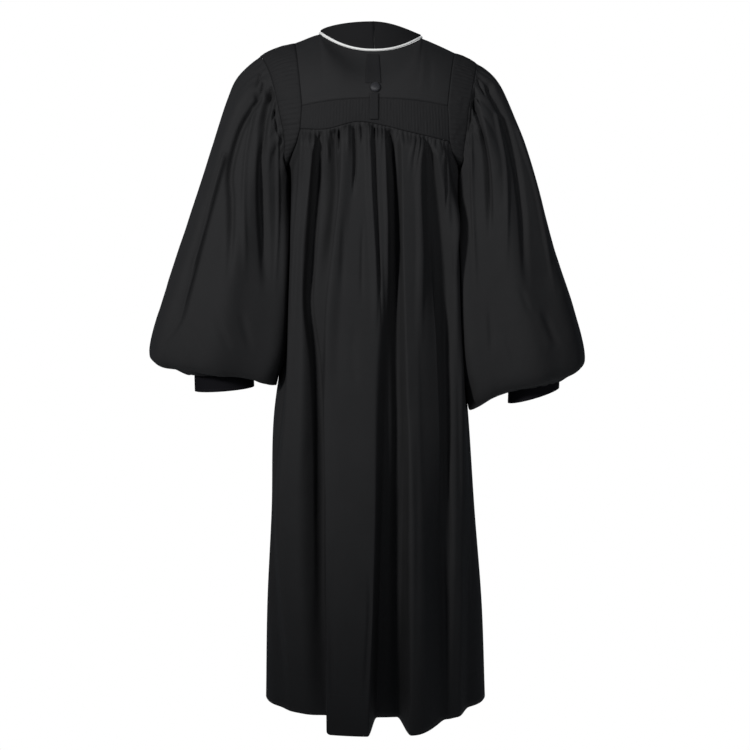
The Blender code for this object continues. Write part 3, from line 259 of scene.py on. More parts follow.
# Neckband and piping
PIPING_RADIUS = 0.0021
PIPING_GAP = 0.0006         # between the piping and the cloth below it
PIPING_OPEN = 0.004         # from the centre front to each end of the piping
PIPING_SIDES = 16
PIPING_ROUND = 0.013        # length of cloth round it
NECK_LEAN, NECK_RISE = 0.45, 0.90         # how cloth stands in the neck seam: towards the neck, and up
NECKBAND_TOP = (-0.006, -0.042, 0.0190)   # highest point of the neckband, at the centre back
NECKBAND_FALL = {-1: 1.5, 1: 2.7}         # how fast each half falls away to the shoulder
NECKBAND_LEAST = 0.0024     # least height of the neckband
SEAM_END = 0.9999           # stops a neck seam just short of the shoulder line

# Strap, tab and button on the centre back
STRAP_X = -0.0035
STRAP_HALF_TOP = 0.0115
STRAP_HALF_LOW = 0.0150
STRAP_DROPS = (0.0475, 0.104)
STRAP_LIFT = 0.0006         # off the cloth under it
TAB_X = -0.0015
TAB_HALF_WIDE = 0.008
TAB_DROPS = (0.1235, 0.172)
BUTTON_X = 0.0005
BUTTON_DROP = 0.1125
BUTTON_RADIUS = 0.0095
BUTTON_HIGH = 0.0058
BUTTON_SIDES, BUTTON_RINGS = 48, 28
ButtonRing = namedtuple("ButtonRing", "radius high")
BUTTON = rows_of(ButtonRing, PLAIN,
    (0.55, 0), (0.8, 0.06), (1, 0.3), (0.97, 0.5), (0.82, 0.76), (0.6, 0.92), (0.36, 1),
)

# Points inside each form, which its cloth faces away from
INSIDE_SHOULDERS = (0, 0, -0.16)
INSIDE_FRONT = (0, 0, -0.5)
INSIDE_BACK = (0, 0, -0.7)
INSIDE_NECK = (0, 0, -0.01)


# Curves and grids


def through(xs, ys, at):
    """A smooth curve through the points xs, ys, read at each value of at. Each of ys may be a whole row."""
    xs, ys = np.asarray(xs, float), np.asarray(ys, float)
    at = np.clip(np.asarray(at, float), xs[0], xs[-1])
    slopes = np.gradient(ys, xs, axis=0)
    k = np.clip(np.searchsorted(xs, at) - 1, 0, len(xs) - 2)
    each = at.shape + (1,) * (ys.ndim - 1)
    span = np.reshape(xs[k + 1] - xs[k], each)
    s = np.reshape(at - xs[k], each) / span
    start = (1 + 2 * s) * (1 - s) ** 2 * ys[k] + s * (1 - s) ** 2 * span * slopes[k]
    end = s ** 2 * (3 - 2 * s) * ys[k + 1] + s ** 2 * (s - 1) * span * slopes[k + 1]
    return start + end


def column_of(table, key, name, at):
    """One named column of a table, read smoothly along its key column."""
    return through([getattr(row, key) for row in table], [getattr(row, name) for row in table], at)


def ease(s):
    s = np.clip(s, 0.0, 1.0)
    return s * s * (3 - 2 * s)


def turns(points):
    """Evenly spaced angles once round."""
    return np.linspace(0, 2 * np.pi, points, endpoint=False)


def bezier(p0, p1, p2, p3, s):
    s = np.asarray(s, float)[..., None]
    return (1 - s) ** 3 * p0 + 3 * s * (1 - s) ** 2 * p1 + 3 * s * s * (1 - s) * p2 + s ** 3 * p3


def unit(v):
    return v / np.maximum(np.linalg.norm(v, axis=-1, keepdims=True), 1e-12)


def shares_along(line):
    """How far along a line of points each one lies, in metres."""
    return np.concatenate([[0], np.cumsum(np.linalg.norm(np.diff(line, axis=0), axis=-1))])


def outward_normals(grid, inside, ring=False):
    """Unit normals of a grid of points [row, column], facing away from inside. A ring's columns join."""
    down = np.gradient(grid, axis=0)
    if ring:
        across = np.roll(grid, -1, axis=1) - np.roll(grid, 1, axis=1)
    else:
        across = np.gradient(grid, axis=1)
    normals = unit(np.cross(across, down))
    return normals if np.sum((grid - np.asarray(inside)) * normals) > 0 else -normals


# Body form


def section(drop):
    return [column_of(BODY, "drop", name, drop) for name in BodySection._fields[1:]]


def body_point(cross, drop, face):
    """A point of the plain body form. cross runs from -1 at the left side seam to 1 at the right one."""
    wide, deep, shift, square = section(drop)
    depth = np.maximum(deep * (1 - np.clip(np.abs(cross), 0, 1) ** square) ** (1 / square), SEAM / 2)
    return np.stack(np.broadcast_arrays(shift + wide * cross, face * depth, -drop), axis=-1)


def point_at(x, drop, face):
    """The point of the plain body form that lies x from the middle."""
    wide, _, shift, _ = section(drop)
    return body_point((x - shift) / wide, drop, face)


def fold_height(folds, x, drop):
    """How far the main folds lift the cloth at x and drop."""
    total = np.zeros(np.broadcast(x, drop).shape)
    for fold in folds:
        left, right, rise, fall, high = (through(FOLD_DROPS, levels, drop) for levels in fold)
        away = np.clip(np.maximum((left - x) / rise, (x - right) / fall), 0, 1)
        total += (np.maximum(high, 0) * (1 + np.cos(np.pi * away)) / 2) ** FOLD_UNION
    return total ** (1 / FOLD_UNION)


def push_out(points, cross, drop, face, lift):
    """Moves points of the body form out, mostly to the back or front, and by nothing at the side seams."""
    wide, deep, _, _ = section(drop)
    sideways = FOLD_SIDEWAYS * np.asarray(cross) / wide
    out = unit(np.stack(np.broadcast_arrays(sideways, face / deep, np.zeros_like(drop)), axis=-1))
    return points + out * (lift * ease((1 - np.abs(cross)) / SIDE_HOLD))[..., None]


def folded_body(cross, drop, face, side=None, rise=1.0):
    """The body form with its main folds, which rise says how much of."""
    points = body_point(cross, drop, face)
    if face == BACK:
        lift = fold_height(BACK_FOLDS, points[..., 0], drop)
    else:
        lift = fold_height(FRONT_FOLDS[side], np.abs(points[..., 0]), drop)
    return push_out(points, cross, drop, face, lift * rise)


def even_cross(count, drop, face, side=None):
    """Places across the body that part the folded cloth into even lengths, from its left seam or centre."""
    fine = np.sin(np.linspace(-np.pi / 2 if face == BACK else 0, np.pi / 2, 500))
    cross = fine if face == BACK else side * fine
    along = shares_along(folded_body(cross, np.full(fine.shape, drop), face, side))
    return np.interp(np.linspace(0, along[-1], count), along, cross)


def body_reach(side, y, drop):
    """How far the folded body reaches out to one side at each y and drop."""
    levels = np.linspace(ARMPIT_DROP, SLEEVE_LOWEST, 40)
    depths = np.linspace(-0.16, 0.16, 65)
    cross = side * np.sin(np.linspace(np.pi / 2, 0.3, 90))
    table = np.zeros((len(levels), len(depths)))
    for i, level in enumerate(levels):
        for face in (BACK, FRONT):
            edge = folded_body(cross, np.full(cross.shape, level), face, side)
            passed = np.maximum.accumulate(np.abs(edge[:, 1])) + np.arange(len(cross)) * 1e-9
            here = depths * face >= 0
            table[i, here] = np.interp(np.abs(depths[here]), passed, side * edge[:, 0])
    i = np.clip((drop - levels[0]) / (levels[1] - levels[0]), 0, len(levels) - 1.001)
    j = np.clip((y - depths[0]) / (depths[1] - depths[0]), 0, len(depths) - 1.001)
    i0, j0 = i.astype(int), j.astype(int)
    s, t = i - i0, j - j0
    return ((1 - s) * (1 - t) * table[i0, j0] + s * (1 - t) * table[i0 + 1, j0]
            + (1 - s) * t * table[i0, j0 + 1] + s * t * table[i0 + 1, j0 + 1])


# Neckline, shoulder line and the cloth that falls from them


def shoulder_drop(side, reach):
    return column_of(SHOULDER[side], "reach", "drop", reach)


def neck_share(side):
    """The share of a panel's upper edge that is neckline."""
    return NECK_REACH[side] / YOKE_REACH_TOP


def upper_edge(side, share, face):
    """The upper edge of half a panel: the neckline, then the shoulder line."""
    neck = NECK[face]
    middle_x = neck.x if face == BACK else side * SEAM / 2
    turn = np.clip(share / neck_share(side), 0, 1) * np.pi / 2
    side_drop = shoulder_drop(side, NECK_REACH[side])
    x = middle_x + (side * NECK_REACH[side] - middle_x) * np.sin(turn)
    drop = neck.drop + (side_drop - neck.drop) * np.sin(turn) ** neck.squareness
    neckline = np.stack([x, face * neck.deep * np.cos(turn), -drop], axis=-1)
    reach = np.maximum(share, neck_share(side)) * YOKE_REACH_TOP
    shoulder = np.stack([side * reach, np.zeros_like(reach), -shoulder_drop(side, reach)], axis=-1)
    edge = np.where((share < neck_share(side))[:, None], neckline, shoulder)
    edge[:, 1] = face * np.maximum(face * edge[:, 1], SEAM / 2)
    return edge


def fall(side, shares, face, low, downs):
    """Points [down, across] of cloth that falls from half of an upper edge to the points of low."""
    top = upper_edge(side, shares, face)
    steep = NECK[face].slope
    slope = np.radians(steep + (SHOULDER_SLOPE - steep) * ease(shares / neck_share(side)))
    leave = np.stack([0 * slope, face * np.cos(slope), -np.sin(slope)], axis=-1)
    arrive = unit(np.array([0.0, face * DRAPE_OUT, -1.0]))
    handle = DRAPE_HANDLE * np.linalg.norm(low - top, axis=-1, keepdims=True)
    across = (low - top) * np.array([DRAPE_ACROSS, 0, 0])
    return bezier(top, top + leave * handle + across, low - arrive * handle - across, low,
                  np.asarray(downs)[:, None])


# Yoke and fluted band


def yoke_grid(side, shares, downs):
    """Points of one half of the yoke, [down, across], from the neckline to the shoulder blades."""
    drop = YOKE_DROP_MID + (YOKE_DROP_END - YOKE_DROP_MID) * shares ** 2
    return fall(side, shares, BACK, point_at(side * YOKE_REACH_LOW * shares, drop, BACK), downs)


def band_low_drop(x):
    return column_of(BAND_LOW, "x", "drop", x)


def band_line(share, down):
    """A point of the plain band under the yoke. share runs from -1 to 1 across and down from 0 to 1."""
    top_drop = YOKE_DROP_MID + (YOKE_DROP_END - YOKE_DROP_MID) * share ** 2
    x = share * (YOKE_REACH_LOW + (BAND_LOW[-1].x - YOKE_REACH_LOW) * down)
    return point_at(x, top_drop + (band_low_drop(x) - top_drop) * down, BACK)


# Armhole


def armhole_low(side, share):
    """The armhole below the fluted band, on the body form."""
    corner = BAND_LOW[-1].x
    corner_drop = band_low_drop(side * corner)
    drop = corner_drop + (ARMPIT_DROP - corner_drop) * share
    wide, _, shift, _ = section(drop)
    start = (side * corner - shift) / wide * side
    cross = start + (1 - start) * column_of(ARMHOLE_LOW, "share", "reach", share)
    return body_point(side * np.clip(cross, 0, 1), drop, BACK)


def armhole_back(side, share):
    """The back half of the armhole, from the shoulder at 0 to the armpit at 1."""
    on_yoke = yoke_grid(side, np.array([1.0]), np.clip(share / YOKE_END, 0, 1))[:, 0]
    on_band = band_line(np.full(share.shape, float(side)),
                        np.clip((share - YOKE_END) / (BAND_END - YOKE_END), 0, 1))
    low = armhole_low(side, np.clip((share - BAND_END) / (1 - BAND_END), 0, 1))
    upper = np.where((share < YOKE_END)[:, None], on_yoke, on_band)
    return np.where((share > BAND_END)[:, None], low, upper)


def even_shares(side, count, start=0.0):
    """Shares of the way down the armhole, from start to the armpit, that part it into even lengths."""
    fine = np.linspace(start, 1, 600)
    along = shares_along(armhole_back(side, fine))
    return np.interp(np.linspace(0, along[-1], count), along, fine)


def both_faces(back):
    """A ring from its back half: the same points again before the side seams, in reverse order."""
    return np.concatenate([back, back[-2:0:-1] * np.array([1, -1, 1])])


def front_upper(side, shares, downs):
    """Points of a front above the chest, [down, across], from the neckline and the shoulder line."""
    on_neck = np.minimum(shares / neck_share(side), 1)
    even_x = shares * YOKE_REACH_LOW
    neck_x = NECK_REACH[side] * np.sin(on_neck * np.pi / 2)
    pull = FRONT_PULL * (neck_x - np.minimum(even_x, neck_share(side) * YOKE_REACH_LOW))
    x = even_x + pull * np.clip((1 - shares) / (1 - neck_share(side)), 0, 1)
    drop = FRONT_CHEST_DROP + (YOKE_DROP_END - FRONT_CHEST_DROP) * shares ** 2
    return fall(side, shares, FRONT, point_at(side * np.maximum(x, SEAM / 2), drop, FRONT), downs)


def front_lower(side, shares, arm_rows, lower):
    """Points of a front from the chest down, [down, across]: beside the armhole, then below the armpit."""
    arm_edge = armhole_back(side, even_shares(side, arm_rows + 1, YOKE_END)[:-1])
    edge_drop = np.concatenate([-arm_edge[:, 2], ARMPIT_DROP + (HEM_DROP - ARMPIT_DROP) * np.asarray(lower)])
    wide, _, shift, _ = section(edge_drop)
    edge_cross = np.ones(len(edge_drop))
    edge_cross[:arm_rows] = side * (arm_edge[:, 0] - shift[:arm_rows]) / wide[:arm_rows]
    edge_cross = edge_cross[:, None]
    passed = ((edge_drop - YOKE_DROP_END) / (HEM_DROP - YOKE_DROP_END))[:, None]
    centre_drop = FRONT_CHEST_DROP + (HEM_DROP - FRONT_CHEST_DROP) * passed
    drop = centre_drop + (edge_drop[:, None] - centre_drop) * shares ** 2
    even = np.stack([np.abs(even_cross(len(shares), level, FRONT, side)) for level in edge_drop])
    spread = shares + (even - shares) * ease(passed * FRONT_EVENED)
    cross = side * np.clip(np.maximum(edge_cross * spread, SEAM / 2 / wide[:, None]), 0, 1)
    rise = np.where(edge_cross < 1, ease((1 - shares) / FRONT_HOLD), 1.0)
    grid = folded_body(cross, drop, FRONT, side, rise)
    grid[:, 0, 0] = side * SEAM / 2
    return grid


# Sleeves and cuffs


def inside_sleeve(side, reach=0.28, drop=0.42):
    return (side * reach, 0, -drop)


def head_offset(side, shares):
    """From the armhole to the edge of the fluted sleeve head, for each point of the ring."""
    wide, outward, forward, down = (column_of(HEAD[side], "share", name, shares)
                                    for name in HeadReach._fields[1:])
    return both_faces(unit(np.stack([side * outward, forward, -down], axis=-1)) * wide[:, None])


def sleeve_ring(side, place, turn):
    """The plain ring of the sleeve at a place along its table."""
    rows = SLEEVE[side]
    outer_reach, outer_drop, inner_reach, inner_drop, half_deep, mid_y, hang = (
        through(np.arange(len(rows)), [getattr(row, name) for row in rows], place)
        for name in SleeveRing._fields)
    middle = np.stack([side * (outer_reach + inner_reach) / 2, mid_y, -(outer_drop + inner_drop) / 2])
    half = np.stack([side * (outer_reach - inner_reach) / 2, 0, -(outer_drop - inner_drop) / 2])
    turn = turn[:, None]
    sag = hang * ((1 - np.cos(turn)) / 2) ** HANG_NARROW
    to_front = np.array([0, half_deep, 0])
    return middle + half * np.cos(turn) - to_front * np.sin(turn) - np.array([0, 0, 1]) * sag


def sleeve_lift(side, place, degrees):
    """How far the sleeve's main folds lift the cloth."""
    along = place / (len(SLEEVE[side]) - 1)
    lift = np.zeros(np.broadcast(place, degrees).shape)
    for fold in SLEEVE_FOLDS[side]:
        crest = fold.turn_top + (fold.turn_low - fold.turn_top) * along
        away = (degrees - crest + 180) % 360 - 180
        high = fold.high_top + (fold.high_low - fold.high_top) * along
        lift += high * np.exp(-(away / fold.wide) ** 2)
    fade_at, fade_rings = SLEEVE_FOLDS_FADE
    return lift * ease(place / SLEEVE_FOLDS_RISE) * (1 - ease((place - fade_at) / fade_rings))


def whole_sleeve(side, points, places):
    """The fluted head and the sleeve below it as one grid, [ring, round]. The head is the first three rings."""
    turn = turns(points)
    shares = even_shares(side, points // 2 + 1)
    armhole = both_faces(armhole_back(side, shares)) + np.array([side * ARMHOLE_GAP, 0, 0])
    offset = head_offset(side, shares)
    spare = armhole + offset - sleeve_ring(side, 0, turn)
    rest = np.array([sleeve_ring(side, place, turn) + spare * (1 - ease(place / SLEEVE_EASED))
                     for place in places])
    lift = sleeve_lift(side, np.asarray(places)[:, None], np.degrees(turn))
    rest += lift[..., None] * outward_normals(rest, inside_sleeve(side), ring=True)

    near = rest[1:]
    reach = body_reach(side, near[..., 1], -near[..., 2]) + SLEEVE_CLEAR
    out = side * near[..., 0]
    below = ease((-near[..., 2] - ARMPIT_DROP + UNDERARM_EASE[0]) / UNDERARM_EASE[1])
    near[..., 0] = side * (out + np.maximum(reach - out, 0) * below)

    head = np.stack([armhole, armhole + offset * 0.5])
    puff = outward_normals(np.concatenate([head, rest[:1]]), inside_sleeve(side, 0.19, 0.17), ring=True)
    head[1] += HEAD_PUFF[side] * puff[1]
    return np.concatenate([head, rest])


def gather_share(points):
    """How much of the gathers and flutes each point round a sleeve has: all but at the underarm."""
    return ease((1 + np.cos(turns(points))) / UNDERARM_PLAIN)


def cuff_ring(side, points, share):
    """One ring of the cuff, from its upper edge at 0 to its lower edge at 1."""
    turn = turns(points)
    outer_reach, inner_reach = CUFF_REACH[side]
    outer_low, inner_low = CUFF_DROP[side]
    last = SLEEVE[side][-1]
    outer_top, inner_top = last.outer_drop - CUFF_TOP_LIFT, last.inner_drop - CUFF_TOP_LIFT
    outer_drop = outer_top + (outer_low - outer_top) * share
    inner_drop = inner_top + (inner_low - inner_top) * share
    weight = (1 + np.cos(turn)) / 2
    x = side * (inner_reach + (outer_reach - inner_reach) * weight)
    y = CUFF_MID_Y - CUFF_HALF_DEEP * np.sin(turn)
    return np.stack([x, y, -(inner_drop + (outer_drop - inner_drop) * weight)], axis=-1)


# Neckband and piping


def neck_seam(side, count, face):
    """The neck seam from the centre to one shoulder."""
    return upper_edge(side, np.linspace(0, neck_share(side), count) * SEAM_END, face)


def neck_way(line):
    """The way in which cloth stands up from the neck seam: square to it, up and towards the neck."""
    tangent = unit(np.gradient(line, axis=0))
    way = NECK_LEAN * unit(-line * np.array([1, 1, 0])) + np.array([0, 0, NECK_RISE])
    return unit(way - np.sum(way * tangent, axis=-1, keepdims=True) * tangent)


def piping_line(back_points, front_points):
    """The neck seam all round, from the left end at the centre front by the back to the right end."""
    halves = []
    for side in SIDES:
        front = neck_seam(side, front_points, FRONT)
        front[0] += unit(front[1] - front[0]) * PIPING_OPEN
        halves.append(np.concatenate([neck_seam(side, back_points, BACK)[:-1], front[-2::-1]]))
    return np.concatenate([halves[0][::-1], halves[1][1:]])


def centre_back_point(x, drop, lift):
    """A point over the yoke or the band near the centre back, lifted off the cloth."""
    side = 1 if x >= 0 else -1
    on_yoke = yoke_grid(side, np.array([abs(x) / YOKE_REACH_LOW]), np.linspace(0, 1, 60))[:, 0]
    on_band = band_line(np.full(30, x / YOKE_REACH_LOW), np.linspace(0.02, 1, 30))
    column = np.concatenate([on_yoke, on_band])
    y = np.interp(drop, -column[:, 2], column[:, 1])
    tilt = np.interp(drop, -column[:, 2], np.gradient(column[:, 1], column[:, 2]))
    return np.array([x, y, -drop]) + unit(np.array([0, -1.0, tilt])) * lift


# Folds and creases of the back and of the sleeves' back faces, each a line through the given places across the
# cloth at the given drops, with how far it spreads to its left and right and how high it stands
Line = namedtuple("Line", "drops places left right high")
BACK_LINES = rows_of(Line, TENTH_MM,
    ((1970, 2580, 3330, 4200, 5170, 6340, 7720, 9530, 11170, 12630),
     (-1027, -1067, -1115, -1179, -1242, -1112, -1060, -1051, -1059, -1087), 180, 60, -105),
    ((2070, 3050, 4000, 5150, 6320, 7700, 9100, 10730, 12400, 13590),
     (304, 381, 421, 424, 446, 469, 453, 418, 401, 364), 190, 70, -140),
    ((1960, 2580, 3330, 4090, 5160), (-760, -761, -763, -844, -947), 240, 50, -110),
    ((1940, 3050, 3990, 5140, 6300, 7660), (-568, -645, -743, -863, -926, -950), 50, 240, 85),
    ((1940, 2580), (-893, -896), 40, 50, 35),
    ((1940, 2390), (-683, -684), 30, 35, -45),
    ((1810, 2480, 3230), (-398, -378, -417), 50, 60, -70),
    ((1810, 2220), (-265, -245), 30, 30, -40),
    ((1810, 2450, 3050, 3700, 4400, 5130, 5990), (-95, -76, -57, -19, 19, 38, 0), 140, 40, 65),
    ((1850, 2860, 3800, 4400, 5130, 5810), (-19, 19, 57, 76, 115, 134), 35, 40, -65),
    ((2000, 2860, 3650, 4410, 5140, 5720), (189, 189, 209, 210, 230, 231), 45, 40, 60),
    ((2030, 2480), (951, 972), 30, 30, -30),
    ((1990, 3050, 3990, 5140, 6300), (858, 855, 879, 864, 868), 120, 60, 40),
    ((3240, 4000, 5160, 6340, 7730, 9140, 10550), (997, 1021, 1047, 1094, 1141, 1189, 1235), 240, 120, 170),
    ((2250, 3050, 3660), (1355, 1381, 1369), 40, 40, -50),
    ((2100, 3050, 4010, 4980), (1508, 1566, 1571, 1579), 100, 60, 80),
    ((4590, 5780, 7240, 8870, 10520, 12210), (1596, 1650, 1748, 1821, 1894, 1950), 130, 80, 85),
    ((1930, 3050, 4010, 5170, 6140), (-1373, -1458, -1546, -1614, -1618), 60, 80, 35),
    ((3330, 4080, 5130), (-569, -609, -651), 70, 90, -20),
    ((3520, 4370, 5320), (-228, -248, -249), 60, 50, -22),
    ((10190, 10980, 12180, 13190), (-117, -98, -157, -216), 80, 60, -45),
    ((11200, 11990, 13220), (-862, -863, -846), 60, 80, -30),
    ((6680, 8630, 10210, 11990, 13210), (714, 699, 703, 706, 747), 100, 160, 40),
    ((7570, 8570, 9990, 11200), (1426, 1432, 1500, 1545), 90, 70, -40),
    ((6730, 7890, 9340, 11030, 12990), (-1917, -2012, -2066, -2145, -2233), 60, 550, 120),
)
SLEEVE_LINES = {
    -1: rows_of(Line, TENTH_MM,
        ((2480, 3240, 4110, 5020, 5650, 5970, 6210), (-2937, -3158, -3401, -3646, -3854, -4107, -4396),
         35, 90, 105),
        ((1340, 1720, 2290, 2820, 3240, 4010, 4970), (-2252, -2504, -2720, -2819, -2800, -2801, -2845),
         90, 120, -105),
        ((1260, 1720, 2290, 3240, 4210, 5180), (-2019, -2130, -2170, -2185, -2158, -2131), 120, 140, -135),
        ((1560, 2290, 3240, 4200, 4970), (-2328, -2463, -2522, -2512, -2504), 70, 60, 40),
        ((2000, 2860, 4020, 5190), (-1864, -1882, -1894, -1962), 50, 40, 35),
        ((800, 1140), (-2215, -2295), 35, 35, -65),
        ((990, 1300), (-2143, -2213), 30, 30, -65),
        ((1070, 1410), (-2002, -2078), 35, 35, -75),
        ((1340, 1790), (-1902, -1978), 35, 35, -75),
        ((1540, 2100), (-1933, -1848), 30, 30, -65),
        ((5530, 6260), (-3649, -3315), 120, 120, -18),
        ((5320, 6260), (-3144, -2792), 130, 110, -22),
        ((5280, 6240), (-2621, -2414), 120, 110, -22),
    ),
    1: rows_of(Line, TENTH_MM,
        ((1300, 1760, 2380, 3240, 4110), (1864, 2012, 2134, 2204, 2232), 90, 80, -125),
        ((1140, 1670, 2380, 3240, 4400, 5170), (2203, 2478, 2694, 2832, 2910, 2950), 120, 120, -90),
        ((1670, 2570, 3530, 4780), (2336, 2508, 2546, 2541), 70, 60, 45),
        ((1870, 2960, 4120, 5190), (1846, 1882, 1931, 1979), 50, 60, 40),
        ((1920, 2860, 4020, 5190), (2764, 3089, 3326, 3547), 60, 70, 40),
        ((950, 1290), (1989, 2122), 35, 35, -65),
        ((1110, 1450), (1906, 2018), 30, 30, -65),
        ((1240, 1720), (1925, 1899), 30, 30, -70),
        ((1480, 1980), (1848, 1807), 30, 30, -60),
        ((4850, 5480), (2790, 3031), 100, 100, -22),
        ((5290, 6200), (3235, 3631), 130, 110, -22),
        ((5600, 6660), (2495, 2842), 130, 120, -22),
        ((5180, 6360), (2225, 2299), 80, 80, -30),
    ),
}

# Finer folds, by the place of their line across the cloth at their top and low ends, with a bow between
Crease = namedtuple("Crease", "top low down_top down_low wide high bow")
Gathers = namedtuple("Gathers", "count high least most seed")
BACK_GATHERS = Gathers(36, 0.0058, 0.012, 0.052, 3)
SLEEVE_GATHERS = {-1: Gathers(34, 0.0042, 0.020, 0.090, 21), 1: Gathers(34, 0.0042, 0.020, 0.090, 22)}
CUFF_GATHERS = {-1: Gathers(26, 0.0030, 0.016, 0.060, 31), 1: Gathers(26, 0.0030, 0.016, 0.060, 32)}
YOKE_CREASES = rows_of(Crease, PLAIN,
    (0.092, 0.086, 0.03, 0.125, 0.006, 0.0012, 0.002), (0.108, 0.104, 0.05, 0.125, 0.005, -0.0008, 0),
    (-0.06, -0.07, 0.06, 0.125, 0.01, 0.0006, 0),
)


# Soft creases scattered over the rest of the cloth, by a table for each panel


def scattered(count, seed, across, down, wide, long, high, slant):
    """A table of soft creases, unevenly spread over a stretch of cloth."""
    rng = np.random.default_rng(seed)
    rows = []
    for _ in range(count):
        top = rng.uniform(*across)
        start = rng.uniform(*down)
        length = rng.uniform(*long)
        rows.append(Crease(top, top + rng.normal(0, slant) * length, start, start + length,
                           rng.uniform(*wide), rng.uniform(*high) * rng.choice([-1, 1]),
                           rng.normal(0, 0.02) * length))
    return rows


BACK_SOFT = scattered(44, 101, (-0.20, 0.20), (0.18, 1.10), (0.008, 0.022), (0.12, 0.36), (0.0004, 0.0012), 0.05)
FRONT_CREASES = {side: scattered(10, 111 + side, (0.03, 0.15), (0.10, 0.40), (0.006, 0.014), (0.15, 0.45),
                                 (0.0012, 0.0030), 0.08) for side in SIDES}
FRONT_SOFT = {side: scattered(40, 121 + side, (0.02, 0.20), (0.10, 1.15), (0.008, 0.022), (0.12, 0.40),
                              (0.0005, 0.0015), 0.06) for side in SIDES}
SLEEVE_CREASES = {
    -1: rows_of(Crease, PLAIN,
        (200, 204, 0.02, 0.34, 8, -0.005, 0), (236, 240, 0.02, 0.3, 9, -0.006, 0),
        (262, 268, 0.02, 0.36, 7, 0.004, 0), (296, 300, 0.02, 0.34, 8, -0.005, 0),
        (322, 326, 0, 0.45, 6, 0.004, 0),
    ),
    1: rows_of(Crease, PLAIN,
        (204, 206, 0.02, 0.32, 8, -0.005, 0), (232, 236, 0.02, 0.3, 9, -0.0055, 0),
        (258, 264, 0.02, 0.36, 7, 0.004, 0), (290, 296, 0.02, 0.34, 8, -0.005, 0),
        (318, 324, 0, 0.4, 6, 0.0035, 0),
    ),
}
SLEEVE_SOFT = {side: scattered(60, 131 + side, (0, 360), (0.02, 0.55), (4, 12), (0.06, 0.26), (0.0004, 0.0016), 40)
               for side in SIDES}


# Thin shells


def quads(rows, cols, ring=True):
    """Faces of a grid of points, row by row. A ring's columns join."""
    r, c = np.meshgrid(np.arange(rows - 1), np.arange(cols if ring else cols - 1), indexing="ij")
    a, b = r * cols + c, r * cols + (c + 1) % cols
    return np.stack([a, b, b + cols, a + cols], axis=-1).reshape(-1, 4)


def tube_faces(rings, sides):
    """Faces of a closed tube, ring by ring, and one at each end."""
    low, high = list(range(sides)), [(rings - 1) * sides + j for j in range(sides)]
    return quads(rings, sides).tolist() + [low[::-1], high]


def set_uv(mesh, coords, faces):
    """Stores the lengths across and down the cloth, in metres, as a UV map."""
    layer = mesh.uv_layers.new(name="cloth")
    loops = np.array([c for face in faces for c in face])
    layer.data.foreach_set("uv", coords[loops].astype(np.float32).ravel())


def new_piece(name, points, faces, material, coords=None):
    mesh = bpy.data.meshes.new(name)
    mesh.from_pydata(points.tolist(), [], faces)
    mesh.update()
    if coords is not None:
        set_uv(mesh, coords, faces)
    mesh.materials.append(material)
    mesh.shade_smooth()
    obj = bpy.data.objects.new(name, mesh)
    bpy.context.scene.collection.objects.link(obj)
    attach(obj, "root")
    return obj


def lengths(grid):
    """Lengths across and down a grid of points, averaged, for its UV map."""
    across = np.linalg.norm(np.diff(grid, axis=1), axis=-1)
    down = np.linalg.norm(np.diff(grid, axis=0), axis=-1)
    u = np.concatenate([np.zeros((len(grid), 1)), np.cumsum(across, axis=1)], axis=1)
    v = np.concatenate([np.zeros((1, grid.shape[1])), np.cumsum(down, axis=0)], axis=0)
    return np.stack([u - u[:, -1:] / 2, v], axis=-1)


def shell(name, form, relief, inside, material, ring=False, face=0):
    """A closed thin shell: its outside is the form raised by the relief, and its inside lies under it."""
    normals = outward_normals(form, inside, ring)
    outer = form + np.asarray(relief)[..., None] * normals
    inner = outer - SHELL * normals
    if face:
        for layer in (outer, inner):
            layer[..., 1] = face * np.maximum(face * layer[..., 1], SIDE_SEWN)
    rows, cols = form.shape[:2]
    under = rows * cols

    def wall(a, b):
        return np.stack([a, b, b + under, a + under], axis=-1)

    top = quads(rows, cols, ring)
    c = np.arange(cols if ring else cols - 1)
    k = (c + 1) % cols
    end = (rows - 1) * cols
    faces = [top, top[:, ::-1] + under, wall(k, c), wall(end + c, end + k)]
    if not ring:
        left = np.arange(rows - 1) * cols
        right = left + cols - 1
        faces += [wall(left, left + cols), wall(right + cols, right)]
    faces = np.concatenate(faces)
    points = np.concatenate([outer.reshape(-1, 3), inner.reshape(-1, 3)])
    a, b, _, d = points[top].transpose(1, 0, 2)
    if np.sum(np.cross(b - a, d - a) * normals.reshape(-1, 3)[top[:, 0]]) < 0:
        faces = faces[:, ::-1]
    coords = lengths(form).reshape(-1, 2)
    piece = new_piece(name, points, faces.tolist(), material, np.concatenate([coords, coords]))
    return piece, outer, normals


# Folds and creases of the cloth


def along(t):
    """Comes in over the first quarter of a crease's length and goes out over the last."""
    return ease(t / 0.25) * ease((1 - t) / 0.25)


def creases(table, across, down):
    """The height of a table of soft ridges and troughs, at places across and down the cloth."""
    total = np.zeros(np.broadcast(across, down).shape)
    for crease in table:
        t = (down - crease.down_top) / (crease.down_low - crease.down_top)
        inside = np.clip(t, 0, 1)
        line = crease.top + (crease.low - crease.top) * inside + crease.bow * 4 * inside * (1 - inside)
        away = (across - line) / crease.wide
        total += crease.high * np.exp(-away ** 2) * along(t)
    return total


def drawn(table, across, down):
    """The height of a table of lines, at places across and down the cloth. Those from a seam open quickly."""
    total = np.zeros(np.broadcast(across, down).shape)
    for line in table:
        first, last = line.drops[0], line.drops[-1]
        away = across - through(line.drops, line.places, down)
        away = np.clip(np.where(away < 0, -away / line.left, away / line.right), 0, 1)
        t = (down - first) / (last - first)
        opening = ease(t / 0.05 + 1) if first < FROM_SEAM else ease(t / 0.4)
        total += line.high * (1 + np.cos(np.pi * away)) / 2 * opening * ease((1 - t) / 0.4)
    return total


